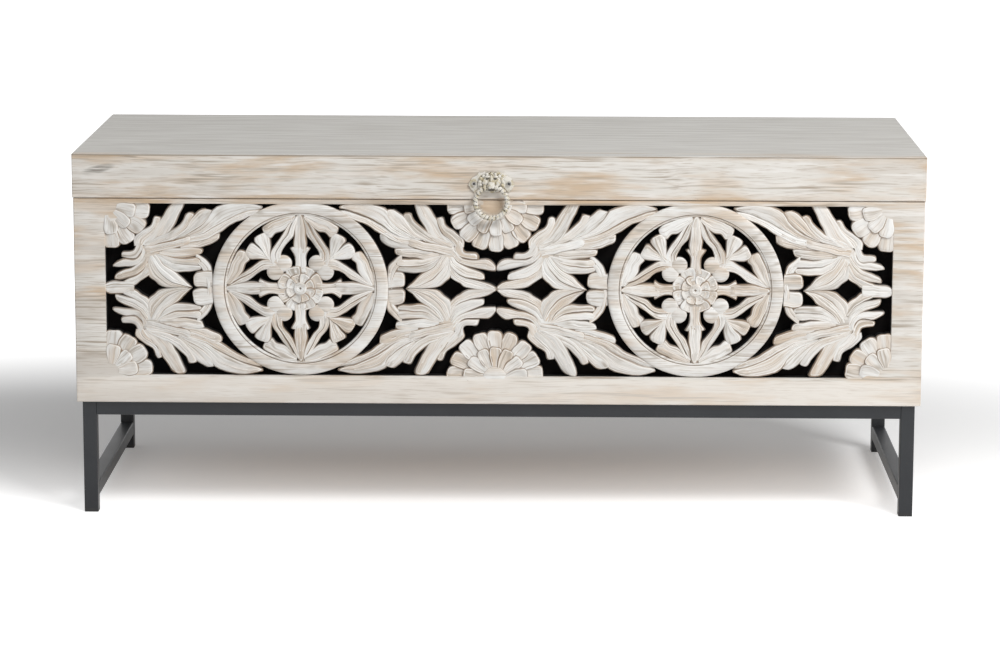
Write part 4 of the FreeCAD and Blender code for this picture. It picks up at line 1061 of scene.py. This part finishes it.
def mask_plate(shell, dirt_and_shade):
    """Flat back of the mask: a pointed ear on each side for its screw, and a scalloped crown."""
    outline = MASK_OUTLINE + tuple((-x, z) for x, z in reversed(MASK_OUTLINE[1:-1]))
    spots = [mask_centre + Vector(spot) * MM for spot in outline]
    corners = [shell.verts.new((spot.x, mask_back, spot.y)) for spot in spots]
    # Darkest along its back edge, where it meets the rail: painted shade
    for vert in corners:
        vert[dirt_and_shade] = 1
    sole = shell.faces.new(corners)
    grown = bmesh.ops.extrude_face_region(shell, geom=[sole])["geom"]
    for part in grown:
        if isinstance(part, bmesh.types.BMVert):
            part.co.y -= MASK_THICKNESS * MM
            part[dirt_and_shade] = 0
    edges = [part for part in grown if isinstance(part, bmesh.types.BMEdge)]
    bmesh.ops.bevel(shell, geom=edges, offset=MASK_ROUND, affect="EDGES", segments=2, profile=0.5, material=-1)


def knob(shell, dirt_and_shade, boss, side=1, dark=0.0):
    """An egg-shaped boss of the casting, darker round its foot with patina and painted shade."""
    along, up, half_length, half_height, rise, lift = (size * MM for size in boss)
    middle = Vector((mask_centre.x + side * along, mask_back - lift, mask_centre.y + up))
    place = Matrix.Translation(middle) @ Matrix.Diagonal((half_length, rise, half_height, 1))
    made = bmesh.ops.create_uvsphere(shell, u_segments=BOSS_SIDES, v_segments=BOSS_RINGS, radius=1,
                                     matrix=place)["verts"]
    for vert in made:
        out = (middle.y - vert.co.y) / rise
        vert[dirt_and_shade] = max(dark, min(1.0, max(0.0, 1.0 - out * BOSS_DIRT_AND_SHADE_FALL)))


def eye_loop(shell):
    """The nose, bent over the ring into an eye: a rounded band turned about the ring's own tube."""
    eye = bmesh.new()
    dirt_and_shade = eye.verts.layers.float.new("dirt_and_shade")
    middle = Matrix.Translation(ring_hang + Vector((0, 0, EYE_MEAN_RADIUS)))
    size = Matrix.Diagonal((EYE_HALF_WIDTH, 1, EYE_HALF_WALL, 1))
    place = middle @ size @ Matrix.Rotation(math.pi / 2, 4, "X")
    bmesh.ops.create_circle(eye, segments=EYE_SIDES, radius=1, matrix=place)
    bmesh.ops.spin(eye, geom=eye.verts[:] + eye.edges[:], cent=ring_hang, axis=(1, 0, 0), angle=2 * math.pi,
                   steps=EYE_STEPS, use_merge=True)
    # Painted shade under the front of the nose band, as nostrils
    for vert in eye.verts:
        out = (vert.co - ring_hang).normalized()
        vert[dirt_and_shade] = NOSTRIL_SHADE if out.y < -NOSTRIL_AHEAD and out.z < -NOSTRIL_BELOW else NOSE_DIRT_AND_SHADE
    joined(shell, eye)


def lion_mask(finish):
    """Cast mask on the lid: brows, nose with the eye for the ring, cheeks and a mane of tufts."""
    shell = bmesh.new()
    dirt_and_shade = shell.verts.layers.float.new("dirt_and_shade")
    mask_plate(shell, dirt_and_shade)
    for boss in (FACE_BOSS, NOSE_BOSS, CHIN_BOSS):
        knob(shell, dirt_and_shade, boss)
    for count in range(MANE_TUFTS):
        angle = MANE_START + MANE_SPREAD * count / (MANE_TUFTS - 1)
        for far, radius in MANE_ROWS:
            along = math.cos(angle) * far * MANE_BREADTH
            up = math.sin(angle) * far * MANE_HEIGHT + MANE_RISE
            knob(shell, dirt_and_shade, (along, up, radius, radius, TUFT_DEPTH, TUFT_LIFT))
    for side in (-1, 1):
        for boss in (BROW_BOSS, CHEEK_BOSS, RUFF_BOSS):
            knob(shell, dirt_and_shade, boss, side)
        knob(shell, dirt_and_shade, EYE_BOSS, side, dark=1.0)
    eye_loop(shell)
    piece("lion_mask", shell, finish, "lid", "handle_plate")


def rope_ring(finish):
    """The pull ring: a torus with a twisted, beaded surface."""
    shell = bmesh.new()
    dirt_and_shade = shell.verts.layers.float.new("dirt_and_shade")
    hub = ring_hang - Vector((0, 0, ring_mean))
    lowest = hub - Vector((0, 0, ring_mean))
    place = Matrix.Translation(lowest) @ Matrix.Rotation(math.pi / 2, 4, "Y")
    bmesh.ops.create_circle(shell, segments=ROPE_SIDES, radius=ring_tube, matrix=place)
    bmesh.ops.spin(shell, geom=shell.verts[:] + shell.edges[:], cent=hub, axis=(0, 1, 0), angle=2 * math.pi,
                   steps=ROPE_STEPS, use_merge=True)
    for vert in shell.verts:
        flat = Vector((vert.co.x - hub.x, 0, vert.co.z - hub.z))
        core = hub + flat.normalized() * ring_mean
        out = vert.co - core
        around = math.atan2(flat.z, flat.x)
        about = math.atan2(out.y, flat.length - ring_mean)
        twist = math.cos(ROPE_STRANDS * around + about)
        vert.co = core + out * (1 + ROPE_RELIEF * twist)
        # Darker in the valleys between strands: patina and painted shade
        vert[dirt_and_shade] = max(0.0, ROPE_DIRT_AND_SHADE - ROPE_DIRT_AND_SHADE * twist)
    piece("rope_ring", shell, finish, "ring", "handle_ring")


# Finishes of the CAD nodes

def dress(finish, *names):
    for name in names:
        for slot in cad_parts[name].material_slots:
            slot.material = finish


def dress_boards():
    lid_wood = whitewash("limed_lid", "X", LID_LOG, grey_top=board_high.z,
                         worn=[("Z", rail_low.z, LID_FOOT_WEAR), ("Z", board_high.z, LID_EDGE_WEAR)],
                         knots=[(rail_low.x + KNOT_ALONG, board_high.z - KNOT_BELOW_TOP)])
    dress(lid_wood, "lid_top_board", "lid_front_rail", "lid_back_rail")
    dress(whitewash("limed_side", "Y", SIDE_LOG, SIDE_PATINA), "left_side_panel", "right_side_panel",
          "lid_left_rail", "lid_right_rail")
    dress(whitewash("limed_back", "X", BACK_LOG, SIDE_PATINA), "back_panel")
    dress(plain_wood(), "bottom_panel", "front_cleat", "back_cleat", "left_cleat", "right_cleat",
          "front_corner_dowels", "back_corner_dowels", "lid_corner_dowels", "lid_top_dowels")
    dress(black_stain(), "front_backing_board")


def dress_metal():
    corners = [end + "_" + side for end in ("front", "back") for side in ("left", "right")]
    dress(powder_coat(), *["leg_" + corner for corner in corners], "left_rail", "right_rail", "front_rail",
          "back_rail", "left_stretcher", "right_stretcher", "stand_fixing_tabs")
    dress(moulded_plastic(), *["foot_cap_" + corner for corner in corners])
    pairs = ["hinge_case_leaf", "hinge_lid_leaf", "hinge_pin", "stay_stud", "stay_pivot", "lid_stay"]
    dress(bright_steel("zinc_steel", 190, 0.28), "hinge_case_screws", "hinge_lid_screws",
          *[side + "_" + part for side in ("left", "right") for part in pairs])
    dress(bright_steel("dark_screws", 96, 0.4), "cleat_screws", "bottom_panel_screws", "backing_board_screws",
          "stand_screws")
    dress(limed_screws(), "handle_plate_screws")
    dress(grey_felt(), "felt_bumpers")


# Stage, light and camera

def stage_floor():
    """A pale floor that keeps the trunk's shadow, glows white away from it, and less in an ellipse of painted
    shadow.
    """
    shell = bmesh.new()
    bmesh.ops.create_grid(shell, x_segments=1, y_segments=1, size=FLOOR_HALF_WIDTH)
    mesh = bpy.data.meshes.new("floor")
    shell.to_mesh(mesh)
    shell.free()
    floor = bpy.data.objects.new("floor", mesh)
    bpy.context.scene.collection.objects.link(floor)
    finish, place, shader = new_finish("white_floor")
    # Painted shadow: the camera's glow is low in an ellipse centred behind the trunk
    across = (place.axis("X") - FLOOR_GLOW_LEFT) / FLOOR_GLOW_WIDTH
    back = (place.axis("Y") - FLOOR_GLOW_BACK) / FLOOR_GLOW_DEPTH
    far = (across * across + back * back).root().step(FLOOR_GLOW_START, FLOOR_GLOW_END)
    glow = place.in_sight() * (FLOOR_NEAR_GLOW + far * (1 - FLOOR_NEAR_GLOW))
    connect(shader, Base_Color=(0.9, 0.9, 0.9, 1), Roughness=1.0, Specular_IOR_Level=0.0,
            Emission_Color=glow.tint((0, 0, 0), (1, 1, 1)), Emission_Strength=1.0)
    mesh.materials.append(finish)


def studio_world():
    """White where the camera looks past the floor, and a dim room's light on the trunk."""
    world = bpy.data.worlds.new("studio")
    bpy.context.scene.world = world
    world.use_nodes = True
    strength = ROOM_LIGHT + Paint(world.node_tree).in_sight() * (1 - ROOM_LIGHT)
    connect(world.node_tree.nodes["Background"], Color=(1, 1, 1, 1), Strength=strength)


def softbox(name, place, aim, size, power):
    lamp = bpy.data.lights.new(name, "AREA")
    lamp.shape = "RECTANGLE"
    lamp.size, lamp.size_y = size
    lamp.energy = power
    made = bpy.data.objects.new(name, lamp)
    made.location = place
    made.rotation_mode = "QUATERNION"
    made.rotation_quaternion = (Vector(aim) - Vector(place)).to_track_quat("-Z", "Y")
    bpy.context.scene.collection.objects.link(made)


def photo_camera():
    """The photograph's view: a long lens a little right of the middle, looking slightly down."""
    level = math.cos(CAMERA_PITCH)
    ahead = Vector((math.sin(CAMERA_YAW) * level, math.cos(CAMERA_YAW) * level, -math.sin(CAMERA_PITCH)))
    right = Vector((math.cos(CAMERA_YAW), -math.sin(CAMERA_YAW), 0))
    up = right.cross(ahead)
    rolled_right = right * math.cos(CAMERA_ROLL) + up * math.sin(CAMERA_ROLL)
    rolled_up = up * math.cos(CAMERA_ROLL) - right * math.sin(CAMERA_ROLL)
    camera = bpy.data.cameras.new("camera")
    camera.sensor_width = CAMERA_SENSOR
    camera.lens = CAMERA_LENS
    camera.clip_end = CAMERA_REACH
    made = bpy.data.objects.new("camera", camera)
    place = Matrix.Translation((CAMERA_RIGHT, board_low.y - CAMERA_BEFORE_LID, CAMERA_HEIGHT))
    made.matrix_world = place @ Matrix((rolled_right, rolled_up, -ahead)).transposed().to_4x4()
    bpy.context.scene.collection.objects.link(made)
    bpy.context.scene.camera = made


carved_wood = whitewash("limed_carving", "XZ", FRONT_LOG, CARVED_PATINA, carved=True, pierced=True)
frame_wood = whitewash("limed_front", "X", FRONT_LOG, worn=[("Z", panel_high.z, PANEL_EDGE_WEAR)],
                       pierced=True, bounce_lit_below=field_low)
leaf_carving(carved_wood)
medallion("left_medallion", -1, carved_wood)
medallion("right_medallion", 1, carved_wood)
flower_carving(carved_wood)
front_border(frame_wood)
cast_brass = limed_brass()
lion_mask(cast_brass)
rope_ring(cast_brass)
dress_boards()
dress_metal()

stage_floor()
studio_world()
for lamp in SOFTBOXES:
    softbox(*lamp)
photo_camera()
bpy.context.scene.view_settings.view_transform = "Standard"
